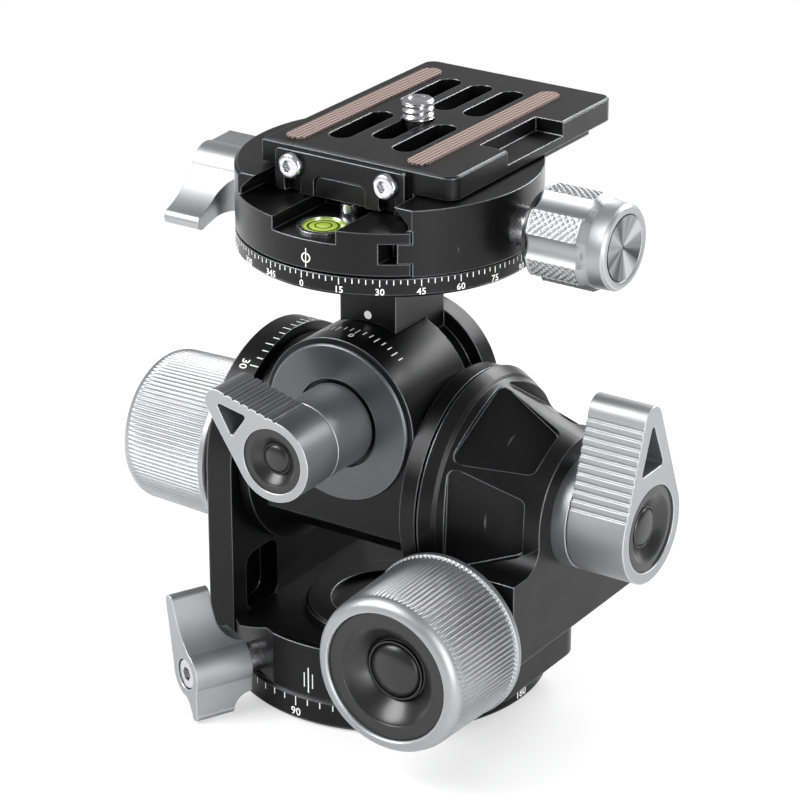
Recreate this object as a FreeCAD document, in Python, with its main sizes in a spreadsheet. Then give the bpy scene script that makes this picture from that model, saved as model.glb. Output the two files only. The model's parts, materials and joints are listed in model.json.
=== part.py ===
import FreeCAD, Part
import Sketcher
import math
import os

# Geared tripod head: a base with a pan scale, a frame that turns on it, a middle body that tilts
# from side to side of the frame, a top yoke that tilts in the middle body, and a panning clamp
# with a quick-release plate. Millimetres, +Z up, the front knob towards -Y, the side lever
# towards +X. The origin is the middle of the base's underside.

os.makedirs("parts", exist_ok=True)
doc = FreeCAD.newDocument("geared_tripod_head")
sheet = doc.addObject("Spreadsheet::Sheet", "Sizes")

# Driving sizes, in millimetres, degrees and counts.
SIZES = {
    "running_fit": 0.05,
    "gap": 0.3,
    "edge": 0.6,
    # base and pan bearing
    "base_radius": 32.2,
    "base_height": 5.8,
    "socket_radius": 4.76,
    "socket_depth": 9.0,
    "insert_wall": 2.2,
    "spigot_radius": 12.0,
    "ring_radius": 17.2,
    "ring_height": 1.5,
    # frame
    "skirt_radius": 32.0,
    "floor_height": 12.5,
    "skirt_height": 17.0,
    "facet_angle": 244.4,
    "facet_distance": 31.2,
    "frame_side": 35.5,
    "frame_back": 17.0,
    "frame_corner": 6.0,
    "tilt_height": 45.0,
    "swing_radius": 41.0,
    # left arm
    "arm_inside": 22.3,
    "arm_thickness": 6.4,
    "arm_radius": 23.5,
    "arm_foot": 7.8,
    "window_low": 12.0,
    "window_height": 13.0,
    "window_width": 11.0,
    "window_middle": 13.5,
    "trunnion_radius": 14.0,
    "bush_wall": 1.5,
    # right gear housing
    "housing_inside": 21.4,
    "housing_outside": 44.0,
    "housing_half_depth": 24.0,
    "rim_radius": 23.9,
    "rim_width": 3.6,
    "cone_radius": 22.1,
    "boss_radius": 15.0,
    "boss_blend": 5.0,
    "rib_width": 3.4,
    "pocket_depth": 2.3,
    # worm drives
    "tooth_module": 0.7,
    "wheel_teeth": 44.0,
    "wheel_width": 5.0,
    "worm_radius": 4.6,
    "worm_turns": 6.0,
    "shaft_radius": 2.5,
    "drive_place": 30.0,
    "hub_radius": 9.0,
    "hub_depth": 2.0,
    "roll_shaft_radius": 4.0,
    # middle body
    "barrel_radius": 17.3,
    "barrel_front": 18.0,
    "barrel_back": 3.0,
    "flange_width": 4.0,
    "flare_radius": 6.0,
    "disc_radius": 16.2,
    "disc_bore": 9.2,
    "disc_thickness": 0.8,
    # geared knobs
    "knob_radius": 16.8,
    "knob_nose_radius": 15.8,
    "knob_length": 22.0,
    "knob_rim": 1.6,
    "knob_bevel": 1.6,
    "dish_radius": 13.0,
    "dish_depth": 5.2,
    "dish_sheet": 1.0,
    # side lever and front lever
    "side_lever_radius": 11.0,
    "side_tip_radius": 3.3,
    "side_tip_reach": 22.3,
    "front_lever_radius": 8.3,
    "front_tip_radius": 2.6,
    "front_tip_reach": 15.8,
    "front_tip_angle": 144.5,
    "lever_dish_share": 0.8,
    "lever_dish_depth": 2.2,
    "groove_radius": 0.35,
    "release_shaft_radius": 3.5,
    # top yoke
    "stem_half_width": 6.5,
    "stem_front": 7.7,
    "stem_back": 9.5,
    "flange_radius": 17.0,
    "flange_front": 3.3,
    "flange_back": 15.0,
    "pan_radius": 30.0,
    "scale_height": 3.8,
    "top_spigot_radius": 13.0,
    "top_spigot_height": 4.2,
    # panning clamp
    "jaw_front": 22.5,
    "lip_half_width": 15.9,
    "channel_half_width": 19.1,
    "level_notch_half_width": 7.2,
    "level_middle": 22.6,
    "level_radius": 5.2,
    "jaw_split": 19.6,
    "finger_tip": 17.7,
    "finger_gap": 3.0,
    "jaw_travel": 4.0,
    "guide_radius": 1.5,
    "guide_place": 14.0,
    "guide_start": 8.0,
    # clamp knob
    "clamp_stem_radius": 4.1,
    "clamp_knob_length": 16.9,
    "clamp_knob_radius": 9.5,
    "clamp_rim_radius": 8.0,
    "clamp_rim_width": 4.2,
    "scallop_radius": 4.2,
    "scallop_offset": 12.2,
    "lobe_count": 6.0,
    "clamp_screw_radius": 2.5,
    # wing locks
    "wing_length": 12.6,
    "wing_hub_radius": 4.9,
    "wing_long_reach": 14.7,
    "wing_long_tip": 1.5,
    "wing_short_reach": 8.0,
    "wing_short_tip": 0.9,
    "wing_bend": 16.0,
    "lock_stem_radius": 3.0,
    "base_lock_height": 9.0,
    "lock_screw_radius": 2.9,
    "lock_screw_head": 2.0,
    # quick-release plate
    "plate_left": 19.0,
    "plate_right": 24.5,
    "plate_front": 15.5,
    "plate_back": 43.5,
    "plate_corner": 2.5,
    "tail_neck": 15.6,
    "tail_foot": 0.9,
    "slot_width": 4.9,
    "slot_pitch": 7.3,
    "front_slot_start": -8.0,
    "front_slot_end": 10.5,
    "rear_slot_start": 17.0,
    "rear_slot_end": 35.2,
    "middle_slot_start": -4.0,
    "camera_screw_place": 10.0,
    "camera_screw_radius": 3.175,
    "camera_screw_rise": 4.3,
    "camera_neck_radius": 2.5,
    "camera_screw_head": 6.6,
    "camera_head_height": 2.4,
    "pad_width": 4.5,
    "pad_place": 13.9,
    "pad_front": 13.0,
    "pad_back": 38.2,
    "pad_rise": 0.35,
    "pad_sink": 0.8,
    "ledge_depth": 6.2,
    "ledge_front": 3.5,
    "ledge_back": 24.0,
    "flap_half_width": 14.7,
    "flap_thickness": 1.7,
    "flap_height": 8.3,
    "flap_travel": 4.0,
    "flap_screw_length": 4.0,
    "tab_height": 4.3,
    "pin_radius": 2.0,
    "pin_x": 0.7,
    "pin_y": 14.4,
    "flap_screw_place": 10.8,
    "flap_screw_radius": 1.4,
    "flap_head_radius": 2.6,
    "flap_head_height": 1.3,
    "tab_half_width": 5.9,
}

# Sizes worked out from the driving ones, so that pieces that belong together move together.
DERIVED = {
    "worm_height": "tilt_height - tooth_module * wheel_teeth / 2 - worm_radius",
    "housing_bottom": "worm_height - 4.7",
    "housing_top": "worm_height + 13",
    "roll_height": "tilt_height + 14.5",
    "roll_worm_height": "roll_height - tooth_module * wheel_teeth / 2 - worm_radius",
    "worm_half_room": "(worm_turns + 1) * tooth_module * 1.5708 + edge",
    "side_lever_start": "housing_outside + 3.6",
    "side_lever_end": "side_lever_start + 12.4",
    "front_lever_start": "barrel_front + 12.5",
    "front_lever_end": "front_lever_start + 10",
    "front_knob_back": "housing_half_depth + 1.2",
    "left_knob_back": "arm_inside + arm_thickness + 5.5",
    "disc_bottom": "roll_height + 31.7",
    "clamp_bottom": "disc_bottom + scale_height + gap",
    "clamp_top": "clamp_bottom + 13.1",
    "channel_floor": "clamp_top - 4.4",
    "level_floor": "clamp_top - 9",
    "level_notch_floor": "clamp_top - 7.1",
    "finger_low": "clamp_bottom + 2.7",
    "finger_high": "finger_low + 3.8",
    "jaw_screw_height": "clamp_bottom + 5.5",
    "top_lock_height": "clamp_bottom + 3.4",
    "clamp_knob_start": "pan_radius + 5.6",
    "base_lock_start": "facet_distance + 3.4",
    "top_lock_start": "pan_radius + 1.5",
    "plate_bottom": "clamp_top + 0.5",
    "plate_top": "plate_bottom + 4.6",
    "tail_bottom": "channel_floor + 0.4",
    "pin_bottom": "level_notch_floor - 1.2",
    "pin_top": "tail_bottom - 0.2",
    "ledge_height": "plate_top - 2.9",
    "flap_bottom": "channel_floor + edge",
}


class Size:
    """A number that remembers the sheet formula it came from."""

    def __init__(self, text, value):
        self.text = text
        self.value = value

    def join(self, sign, other, value, swapped=False):
        other_text = other.text if isinstance(other, Size) else repr(float(other))
        pair = (other_text, self.text) if swapped else (self.text, other_text)
        return Size("(%s %s %s)" % (pair[0], sign, pair[1]), value)

    def __add__(self, other):
        return self.join("+", other, self.value + number(other))

    def __radd__(self, other):
        return self.join("+", other, number(other) + self.value, True)

    def __sub__(self, other):
        return self.join("-", other, self.value - number(other))

    def __rsub__(self, other):
        return self.join("-", other, number(other) - self.value, True)

    def __mul__(self, other):
        return self.join("*", other, self.value * number(other))

    def __rmul__(self, other):
        return self.join("*", other, number(other) * self.value, True)

    def __truediv__(self, other):
        return self.join("/", other, self.value / number(other))

    def __neg__(self):
        return Size("(0 - %s)" % self.text, -self.value)

    def root(self):
        return Size("sqrt(%s)" % self.text, math.sqrt(self.value))


def number(size):
    return size.value if isinstance(size, Size) else float(size)


def cosine(angle):
    return Size("cos(%s)" % angle.text, math.cos(math.radians(angle.value)))


def sine(angle):
    return Size("sin(%s)" % angle.text, math.sin(math.radians(angle.value)))


for row, (alias, size) in enumerate(SIZES.items(), start=1):
    cell = "B%d" % row
    sheet.set("A%d" % row, alias)
    sheet.set(cell, str(size))
    sheet.setAlias(cell, alias)
for row, (alias, formula) in enumerate(DERIVED.items(), start=len(SIZES) + 1):
    cell = "B%d" % row
    sheet.set("A%d" % row, alias)
    sheet.set(cell, "=" + formula)
    sheet.setAlias(cell, alias)
    doc.recompute()


class Sheet:
    """Gives each alias of the sheet as a Size."""

    def __getattr__(self, alias):
        return Size("Sizes." + alias, float(sheet.get(alias)))


S = Sheet()
ZERO = Size("0", 0.0)
TURNS = {
    "x": FreeCAD.Rotation(FreeCAD.Vector(0, 1, 0), 90),
    "y": FreeCAD.Rotation(FreeCAD.Vector(1, 0, 0), -90),
    "z": FreeCAD.Rotation(),
}
AXES = {"x": FreeCAD.Vector(1, 0, 0), "y": FreeCAD.Vector(0, 1, 0), "z": FreeCAD.Vector(0, 0, 1)}
pieces = []


def bind(thing, name, size):
    """Sets a property from a size, with its formula when it has one."""
    if isinstance(size, Size):
        thing.setExpression(name, size.text)
    else:
        setattr(thing, name, size)


def place(thing, at, turn=None):
    """Puts an object at a point of sizes, after an optional turn."""
    thing.Placement = FreeCAD.Placement(FreeCAD.Vector(*[number(c) for c in at]), turn or FreeCAD.Rotation())
    for letter, size in zip("xyz", at):
        if isinstance(size, Size):
            thing.setExpression("Placement.Base." + letter, size.text)


def box(name, low, high):
    thing = doc.addObject("Part::Box", name)
    for side, a, b in zip(("Length", "Width", "Height"), low, high):
        bind(thing, side, b - a)
    place(thing, low)
    return thing


def rod(name, axis, start, radius, length):
    """A cylinder from a start point along x, y or z."""
    thing = doc.addObject("Part::Cylinder", name)
    bind(thing, "Radius", radius)
    bind(thing, "Height", length)
    place(thing, start, TURNS[axis])
    return thing


def taper(name, axis, start, first, last, length):
    """A cone between two radii."""
    thing = doc.addObject("Part::Cone", name)
    bind(thing, "Radius1", first)
    bind(thing, "Radius2", last)
    bind(thing, "Height", length)
    place(thing, start, TURNS[axis])
    return thing


def cut(name, base, *tools):
    tool = tools[0] if len(tools) == 1 else fuse(name + "_tools", *tools)
    thing = doc.addObject("Part::Cut", name)
    thing.Base = base
    thing.Tool = tool
    return thing


def fuse(name, *shapes):
    thing = doc.addObject("Part::MultiFuse", name)
    thing.Shapes = list(shapes)
    thing.Refine = True
    return thing


def common(name, first, second):
    thing = doc.addObject("Part::Common", name)
    thing.Base = first
    thing.Tool = second
    return thing


def rounded(name, base, radius, wanted):
    """Fillets the edges that wanted(edge) picks."""
    doc.recompute()
    thing = doc.addObject("Part::Fillet", name)
    thing.Base = base
    size = number(radius)
    picked = [i for i, edge in enumerate(base.Shape.Edges, start=1) if wanted(edge)]
    thing.Edges = [(i, size, size) for i in picked]
    return thing


def bevelled(name, base, size, wanted):
    """Chamfers the edges that wanted(edge) picks."""
    doc.recompute()
    thing = doc.addObject("Part::Chamfer", name)
    thing.Base = base
    width = number(size)
    picked = [i for i, edge in enumerate(base.Shape.Edges, start=1) if wanted(edge)]
    thing.Edges = [(i, width, width) for i in picked]
    return thing


def round_edge_at(axis, place_value, least_radius=0.0):
    """A test for a full circle edge about an axis at one place along it."""
    index = "xyz".index(axis)

    def wanted(edge):
        if not isinstance(edge.Curve, Part.Circle) or edge.Curve.Radius < least_radius:
            return False
        along = abs(abs(edge.Curve.Axis[index]) - 1.0) < 1e-6
        return along and abs(edge.Curve.Center[index] - place_value) < 1e-4 and len(edge.Vertexes) == 1

    return wanted


def upright_edge_near(*spots):
    """A test for upright edges that pass near given x, y spots."""

    def wanted(edge):
        ends = [v.Point for v in edge.Vertexes]
        if len(ends) != 2 or abs(ends[0].x - ends[1].x) > 1e-6 or abs(ends[0].y - ends[1].y) > 1e-6:
            return False
        return any(abs(ends[0].x - x) < 0.05 and abs(ends[0].y - y) < 0.05 for x, y in spots)

    return wanted


def sketch_on(body, plane, offset):
    """A sketch on one of the body's origin planes, moved along the plane's normal and in it."""
    sketch = body.newObject("Sketcher::SketchObject", body.Name + "_sketch")
    origin_plane = [f for f in body.Origin.OriginFeatures if f.Role == plane][0]
    sketch.AttachmentSupport = [(origin_plane, "")]
    sketch.MapMode = "FlatFace"
    for letter, size in zip("xyz", offset):
        bind_offset(sketch, letter, size)
    return sketch


def bind_offset(sketch, letter, size):
    base = sketch.AttachmentOffset.Base
    setattr(base, letter, number(size))
    sketch.AttachmentOffset = FreeCAD.Placement(base, FreeCAD.Rotation())
    if isinstance(size, Size):
        sketch.setExpression("AttachmentOffset.Base." + letter, size.text)


def outline(sketch, path):
    """Draws a closed outline through corners of sizes and binds every corner.

    A corner is (x, y), or (x, y, radius) where the edge that leaves it is an arc. A positive
    radius bends the arc's middle to the right of the way from corner to corner.
    """
    count = len(path)
    spots = [FreeCAD.Vector(number(corner[0]), number(corner[1]), 0) for corner in path]
    starts, ends = [], []
    for i, corner in enumerate(path):
        here, there = spots[i], spots[(i + 1) % count]
        if len(corner) == 3:
            edge = sketch.addGeometry(arc_between(here, there, number(corner[2])), False)
            radius = abs(number(corner[2]))
            sketch.addConstraint(Sketcher.Constraint("Radius", edge, radius))
        else:
            edge = sketch.addGeometry(Part.LineSegment(here, there), False)
        forward = sketch.getPoint(edge, 1).distanceToPoint(here) < 1e-6
        starts.append((edge, 1 if forward else 2))
        ends.append((edge, 2 if forward else 1))
    for i in range(count):
        sketch.addConstraint(Sketcher.Constraint("Coincident", *ends[i - 1], *starts[i]))
    for i, corner in enumerate(path):
        pin_corner(sketch, starts[i], "DistanceX", corner[0])
        pin_corner(sketch, starts[i], "DistanceY", corner[1])


def arc_between(here, there, radius):
    """The short arc between two points. Its middle lies right of the way for a positive radius."""
    way = there - here
    side = FreeCAD.Vector(way.y, -way.x, 0).normalize()
    half = way.Length / 2.0
    rise = abs(radius) - math.sqrt(radius ** 2 - half ** 2)
    middle = (here + there) * 0.5 + side * (rise if radius > 0 else -rise)
    return Part.Arc(here, middle, there)


def pin_corner(sketch, corner, kind, size):
    index = sketch.addConstraint(Sketcher.Constraint(kind, -1, 1, *corner, number(size)))
    if isinstance(size, Size):
        sketch.setExpression("Constraints[%d]" % index, size.text)


def turned(name, axis, centre, profile):
    """A body of revolution: profile holds (place along the axis, radius) pairs."""
    body = doc.addObject("PartDesign::Body", name)
    if axis == "z":
        sketch = sketch_on(body, "XZ_Plane", (centre[0], ZERO, -centre[1]))
        outline(sketch, [(corner[1], corner[0], *corner[2:]) for corner in profile])
        edge = "V_Axis"
    elif axis == "x":
        sketch = sketch_on(body, "XZ_Plane", (ZERO, centre[1], -centre[0]))
        outline(sketch, profile)
        edge = "H_Axis"
    else:
        sketch = sketch_on(body, "YZ_Plane", (ZERO, centre[1], centre[0]))
        outline(sketch, profile)
        edge = "H_Axis"
    feature = body.newObject("PartDesign::Revolution", name + "_turn")
    feature.Profile = sketch
    feature.ReferenceAxis = (sketch, [edge])
    feature.Angle = 360
    return body


def slab(name, plane, start, thickness, path):
    """A straight pad of an outline, from start along +X, +Y or +Z by thickness."""
    body = doc.addObject("PartDesign::Body", name)
    # The XZ plane's normal is -Y, so there the pad runs backwards from its start.
    normal = -start if plane == "XZ_Plane" else start
    sketch = sketch_on(body, plane, (ZERO, ZERO, normal))
    outline(sketch, path)
    feature = body.newObject("PartDesign::Pad", name + "_pad")
    feature.Profile = sketch
    feature.Reversed = plane == "XZ_Plane"
    bind(feature, "Length", thickness)
    return body


def made(name, shape):
    """A feature whose shape is worked out here from sizes read off the sheet."""
    thing = doc.addObject("Part::Feature", name)
    thing.Shape = shape
    return thing


def keep(label, thing):
    """Names a finished sub-part."""
    thing.Label = label
    pieces.append(thing)
    return thing


def vector(*sizes):
    return FreeCAD.Vector(*[number(size) for size in sizes])


def ring_of(thing, name, axis_point, axis, count, first_turn=0.0):
    """Copies of a tool round an axis, as one compound."""
    doc.recompute()
    copies = []
    for i in range(int(round(number(count)))):
        shape = thing.Shape.copy()
        shape.rotate(axis_point, axis, first_turn + 360.0 * i / number(count))
        copies.append(shape)
    return made(name, Part.makeCompound(copies))


def moved_hull(first, first_radius, second, second_radius):
    """Outline, as a wire in a plane, of two circles and their outer tangents: u, v points."""
    (u1, v1), (u2, v2) = first, second
    span = math.hypot(u2 - u1, v2 - v1)
    heading = math.atan2(v2 - v1, u2 - u1)
    lean = math.acos((first_radius - second_radius) / span)
    spots = {}
    for key, (u, v, r) in {"first": (u1, v1, first_radius), "second": (u2, v2, second_radius)}.items():
        for side, sign in (("left", 1.0), ("right", -1.0)):
            angle = heading + sign * lean
            spots[key, side] = FreeCAD.Vector(u + r * math.cos(angle), v + r * math.sin(angle), 0)
    far = FreeCAD.Vector(u2 + second_radius * math.cos(heading), v2 + second_radius * math.sin(heading), 0)
    near = FreeCAD.Vector(u1 - first_radius * math.cos(heading), v1 - first_radius * math.sin(heading), 0)
    edges = [
        Part.LineSegment(spots["first", "right"], spots["second", "right"]).toShape(),
        Part.Arc(spots["second", "right"], far, spots["second", "left"]).toShape(),
        Part.LineSegment(spots["second", "left"], spots["first", "left"]).toShape(),
        Part.Arc(spots["first", "left"], near, spots["first", "right"]).toShape(),
    ]
    return Part.Wire(edges)


def rounded_polygon(points, radius):
    """A closed wire through corners, each rounded by an arc of one radius."""
    edges = []
    count = len(points)
    starts, ends, mids = [], [], []
    for i, corner in enumerate(points):
        back = (points[i - 1] - corner).normalize()
        ahead = (points[(i + 1) % count] - corner).normalize()
        half = back.getAngle(ahead) / 2.0
        reach = radius / math.tan(half)
        middle = (back + ahead).normalize()
        starts.append(corner + back * reach)
        ends.append(corner + ahead * reach)
        mids.append(corner + middle * (radius / math.sin(half) - radius))
    for i in range(count):
        edges.append(Part.Arc(starts[i], mids[i], ends[i]).toShape())
        edges.append(Part.LineSegment(ends[i], starts[(i + 1) % count]).toShape())
    return Part.Wire(edges)


def extruded(wire, turn, at, along):
    """A solid from a flat wire: turned from the XY plane, moved, and drawn out along a vector."""
    face = Part.Face(wire)
    face.Placement = FreeCAD.Placement(at, turn)
    return face.extrude(along)


# Turns that carry a flat outline (u, v) to the side view (y, z) and the front view (x, z).
SIDE_VIEW = FreeCAD.Rotation(FreeCAD.Vector(0, 1, 0), FreeCAD.Vector(0, 0, 1), FreeCAD.Vector(1, 0, 0), "XYZ")
FRONT_VIEW = FreeCAD.Rotation(FreeCAD.Vector(1, 0, 0), FreeCAD.Vector(0, 0, 1), FreeCAD.Vector(0, -1, 0), "XYZ")


def make_base():
    """Scale ring, spigot and the tripod socket with its steel insert."""
    insert_radius = S.socket_radius + S.insert_wall
    spigot_top = S.floor_height + S.gap
    profile = [
        (ZERO, insert_radius),
        (ZERO, S.base_radius - S.edge),
        (S.edge, S.base_radius),
        (S.base_height - S.edge, S.base_radius),
        (S.base_height, S.base_radius - S.edge),
        (S.base_height, S.spigot_radius),
        (spigot_top, S.spigot_radius),
        (spigot_top, ZERO),
        (S.socket_depth, ZERO),
        (S.socket_depth, insert_radius),
    ]
    keep("base", turned("Base", "z", (ZERO, ZERO), profile))
    insert = [
        (ZERO, S.socket_radius),
        (ZERO, insert_radius),
        (S.socket_depth, insert_radius),
        (S.socket_depth, S.socket_radius),
    ]
    keep("thread_insert", turned("ThreadInsert", "z", (ZERO, ZERO), insert))
    low = S.floor_height + S.running_fit
    ring = [
        (low, S.spigot_radius),
        (low, S.ring_radius),
        (low + S.ring_height - S.edge, S.ring_radius),
        (low + S.ring_height, S.ring_radius - S.edge),
        (low + S.ring_height, S.spigot_radius),
    ]
    keep("pan_retaining_ring", turned("PanRetainingRing", "z", (ZERO, ZERO), ring))


def make_frame_plate():
    """The turning plate: skirt, flat for the lock, right-hand foot, and a hollow for the swing."""
    low = S.base_height + S.running_fit * 2.0
    disc = rod("SkirtDisc", "z", (ZERO, ZERO, low), S.skirt_radius, S.skirt_height - low)
    foot = box(
        "RightFoot",
        (ZERO, -S.frame_back, low),
        (S.frame_side, S.frame_back, S.housing_bottom),
    )
    corners = [(number(S.frame_side), -number(S.frame_back)), (number(S.frame_side), number(S.frame_back))]
    foot_round = rounded("RightFootRound", foot, S.frame_corner, upright_edge_near(*corners))
    blank = fuse("PlateBlank", disc, foot_round)
    hollow = rod(
        "SwingHollow",
        "x",
        (-S.skirt_radius, ZERO, S.tilt_height),
        S.swing_radius,
        S.skirt_radius + S.housing_inside,
    )
    floor_slab = box(
        "FloorLimit",
        (-S.skirt_radius, -S.skirt_radius, S.floor_height),
        (S.housing_inside, S.skirt_radius, S.tilt_height),
    )
    swing = common("Swing", hollow, floor_slab)
    bore = rod("PanBore", "z", (ZERO, ZERO, low), S.spigot_radius + S.running_fit, S.skirt_height)
    arm_seat = box(
        "ArmSeat",
        (-S.skirt_radius - 1.0, -S.skirt_radius, ZERO),
        (-S.arm_inside, S.skirt_radius, S.skirt_height + 1.0),
    )
    facet = make_facet()
    stem_hole = lock_rod("LockHole", S.facet_distance - 9.0, S.lock_stem_radius + S.running_fit, 12.0)
    worm_room = worm_room_rod("FootWormRoom")
    knob_room = rod(
        "KnobRoom",
        "y",
        (S.drive_place, -S.front_knob_back - S.knob_length, S.worm_height),
        S.knob_radius + S.gap,
        S.knob_length + S.gap,
    )
    tools = [swing, bore, arm_seat, facet, stem_hole, worm_room, knob_room]
    keep("frame_plate", cut("FramePlate", blank, *tools))


def worm_room_rod(name):
    """Room for the front worm, which lies half in the foot and half in the gear housing."""
    return rod(
        name,
        "y",
        (S.drive_place, -S.worm_half_room, S.worm_height),
        S.worm_radius + S.tooth_module + S.gap,
        S.worm_half_room * 2.0,
    )


def make_facet():
    """Block outside the flat on the skirt where the pan lock enters."""
    angle = number(S.facet_angle)
    block = Part.makeBox(10.0, 60.0, number(S.tilt_height))
    block.translate(FreeCAD.Vector(number(S.facet_distance), -30.0, 0))
    block.rotate(FreeCAD.Vector(), AXES["z"], angle)
    return made("Facet", block)


def lock_rod(name, start, radius, length):
    """A rod along the base lock's axis, from a distance off the middle."""
    shape = Part.makeCylinder(
        number(radius),
        number(length),
        vector(start, 0, S.base_lock_height),
        AXES["x"],
    )
    shape.rotate(FreeCAD.Vector(), AXES["z"], number(S.facet_angle))
    return made(name, shape)


def make_left_arm():
    """Upright plate with a round head, a bore for the trunnion bush and a window."""
    outer = -S.arm_inside - S.arm_thickness
    head = rod("ArmHead", "x", (outer, ZERO, S.tilt_height), S.arm_radius, S.arm_thickness)
    shank = box("ArmShank", (outer, -S.arm_radius, S.arm_foot), (-S.arm_inside, S.arm_radius, S.tilt_height))
    blank = fuse("ArmBlank", head, shank)
    bevel = bevelled("ArmBevel", blank, S.edge, lambda e: near_plane(e, "x", number(outer)))
    bore = rod(
        "ArmBore",
        "x",
        (outer, ZERO, S.tilt_height),
        S.trunnion_radius + S.bush_wall,
        S.arm_thickness,
    )
    half = S.window_width / 2.0
    window = box(
        "ArmWindow",
        (-S.arm_inside - S.arm_thickness * 0.7, -S.window_middle - half, S.window_low),
        (-S.arm_inside, -S.window_middle + half, S.window_low + S.window_height),
    )
    window_round = rounded("ArmWindowRound", window, 3.0, lambda e: runs_along(e, "x"))
    keep("left_arm", cut("LeftArm", bevel, bore, window_round))
    bush = [
        (outer, S.trunnion_radius + S.running_fit),
        (outer, S.trunnion_radius + S.bush_wall),
        (-S.arm_inside, S.trunnion_radius + S.bush_wall),
        (-S.arm_inside, S.trunnion_radius + S.running_fit),
    ]
    keep("trunnion_bush", turned("TrunnionBush", "x", (ZERO, S.tilt_height), bush))


def near_plane(edge, axis, value):
    index = "xyz".index(axis)
    return all(abs(v.Point[index] - value) < 1e-5 for v in edge.Vertexes)


def runs_along(edge, axis):
    index = "xyz".index(axis)
    if len(edge.Vertexes) != 2 or not isinstance(edge.Curve, Part.Line):
        return False
    return abs(abs(edge.Curve.Direction[index]) - 1.0) < 1e-6


def make_gear_housing():
    """Right arm: rim, cone with pockets, boss and the box that holds the worm."""
    rim = [
        (S.housing_inside, S.release_shaft_radius),
        (S.housing_inside, S.rim_radius - S.edge),
        (S.housing_inside + S.edge, S.rim_radius),
        (S.housing_inside + S.rim_width - S.edge, S.cone_radius + S.edge),
        (S.housing_inside + S.rim_width, S.cone_radius),
        (S.housing_outside, S.boss_radius),
        (S.housing_outside, S.release_shaft_radius),
    ]
    shell = turned("HousingShell", "x", (ZERO, S.tilt_height), rim)
    block = made("HousingBlock", housing_block_shape())
    blank = fuse("HousingBlank", shell, block)
    wheel_radius = S.tooth_module * (S.wheel_teeth / 2.0 + 1.0) + S.gap
    cavity_end = S.drive_place + S.wheel_width / 2.0 + S.gap
    cavity = rod(
        "WheelCavity",
        "x",
        (S.housing_inside, ZERO, S.tilt_height),
        wheel_radius,
        cavity_end - S.housing_inside,
    )
    worm_room = worm_room_rod("WormRoom")
    shaft_way = rod(
        "ShaftWay",
        "y",
        (S.drive_place, -S.housing_half_depth, S.worm_height),
        S.shaft_radius + S.running_fit,
        S.housing_half_depth * 2.0 - 4.0,
    )
    pockets = made("ConePockets", cone_pocket_shape())
    keep("gear_housing", cut("GearHousing", blank, cavity, worm_room, shaft_way, pockets))


def housing_block_shape():
    """The box under the boss, whose top runs into the boss with a hollow round."""
    r = number(S.boss_radius)
    blend = number(S.boss_blend)
    half = number(S.housing_half_depth)
    top = number(S.housing_top) - number(S.tilt_height)
    low = number(S.housing_bottom) - number(S.tilt_height)
    reach = math.sqrt((r + blend) ** 2 - (top + blend) ** 2)
    touch = FreeCAD.Vector(-reach * r / (r + blend), (top + blend) * r / (r + blend), 0)
    hollow_mid_angle = (math.atan2(-(top + blend), reach) - math.pi / 2.0) / 2.0
    outline_points = {}
    for side in (-1.0, 1.0):
        outline_points[side] = {
            "touch": FreeCAD.Vector(-side * touch.x, touch.y, 0),
            "mid": FreeCAD.Vector(
                side * (reach - blend * math.cos(hollow_mid_angle)),
                top + blend + blend * math.sin(hollow_mid_angle),
                0,
            ),
            "flat": FreeCAD.Vector(side * reach, top, 0),
            "corner": FreeCAD.Vector(side * half, top, 0),
            "foot": FreeCAD.Vector(side * half, low, 0),
        }
    left, right = outline_points[-1.0], outline_points[1.0]
    crown = FreeCAD.Vector(0, r, 0)
    wire = Part.Wire([
        Part.LineSegment(left["foot"], right["foot"]).toShape(),
        Part.LineSegment(right["foot"], right["corner"]).toShape(),
        Part.LineSegment(right["corner"], right["flat"]).toShape(),
        Part.Arc(right["flat"], right["mid"], right["touch"]).toShape(),
        Part.Arc(right["touch"], crown, left["touch"]).toShape(),
        Part.Arc(left["touch"], left["mid"], left["flat"]).toShape(),
        Part.LineSegment(left["flat"], left["corner"]).toShape(),
        Part.LineSegment(left["corner"], left["foot"]).toShape(),
    ])
    start = vector(S.housing_inside, 0, S.tilt_height)
    block = extruded(wire, SIDE_VIEW, start, FreeCAD.Vector(number(S.housing_outside - S.housing_inside), 0, 0))
    bore = Part.makeCylinder(number(S.release_shaft_radius), 60.0, start, AXES["x"])
    return block.cut(bore)


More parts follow.
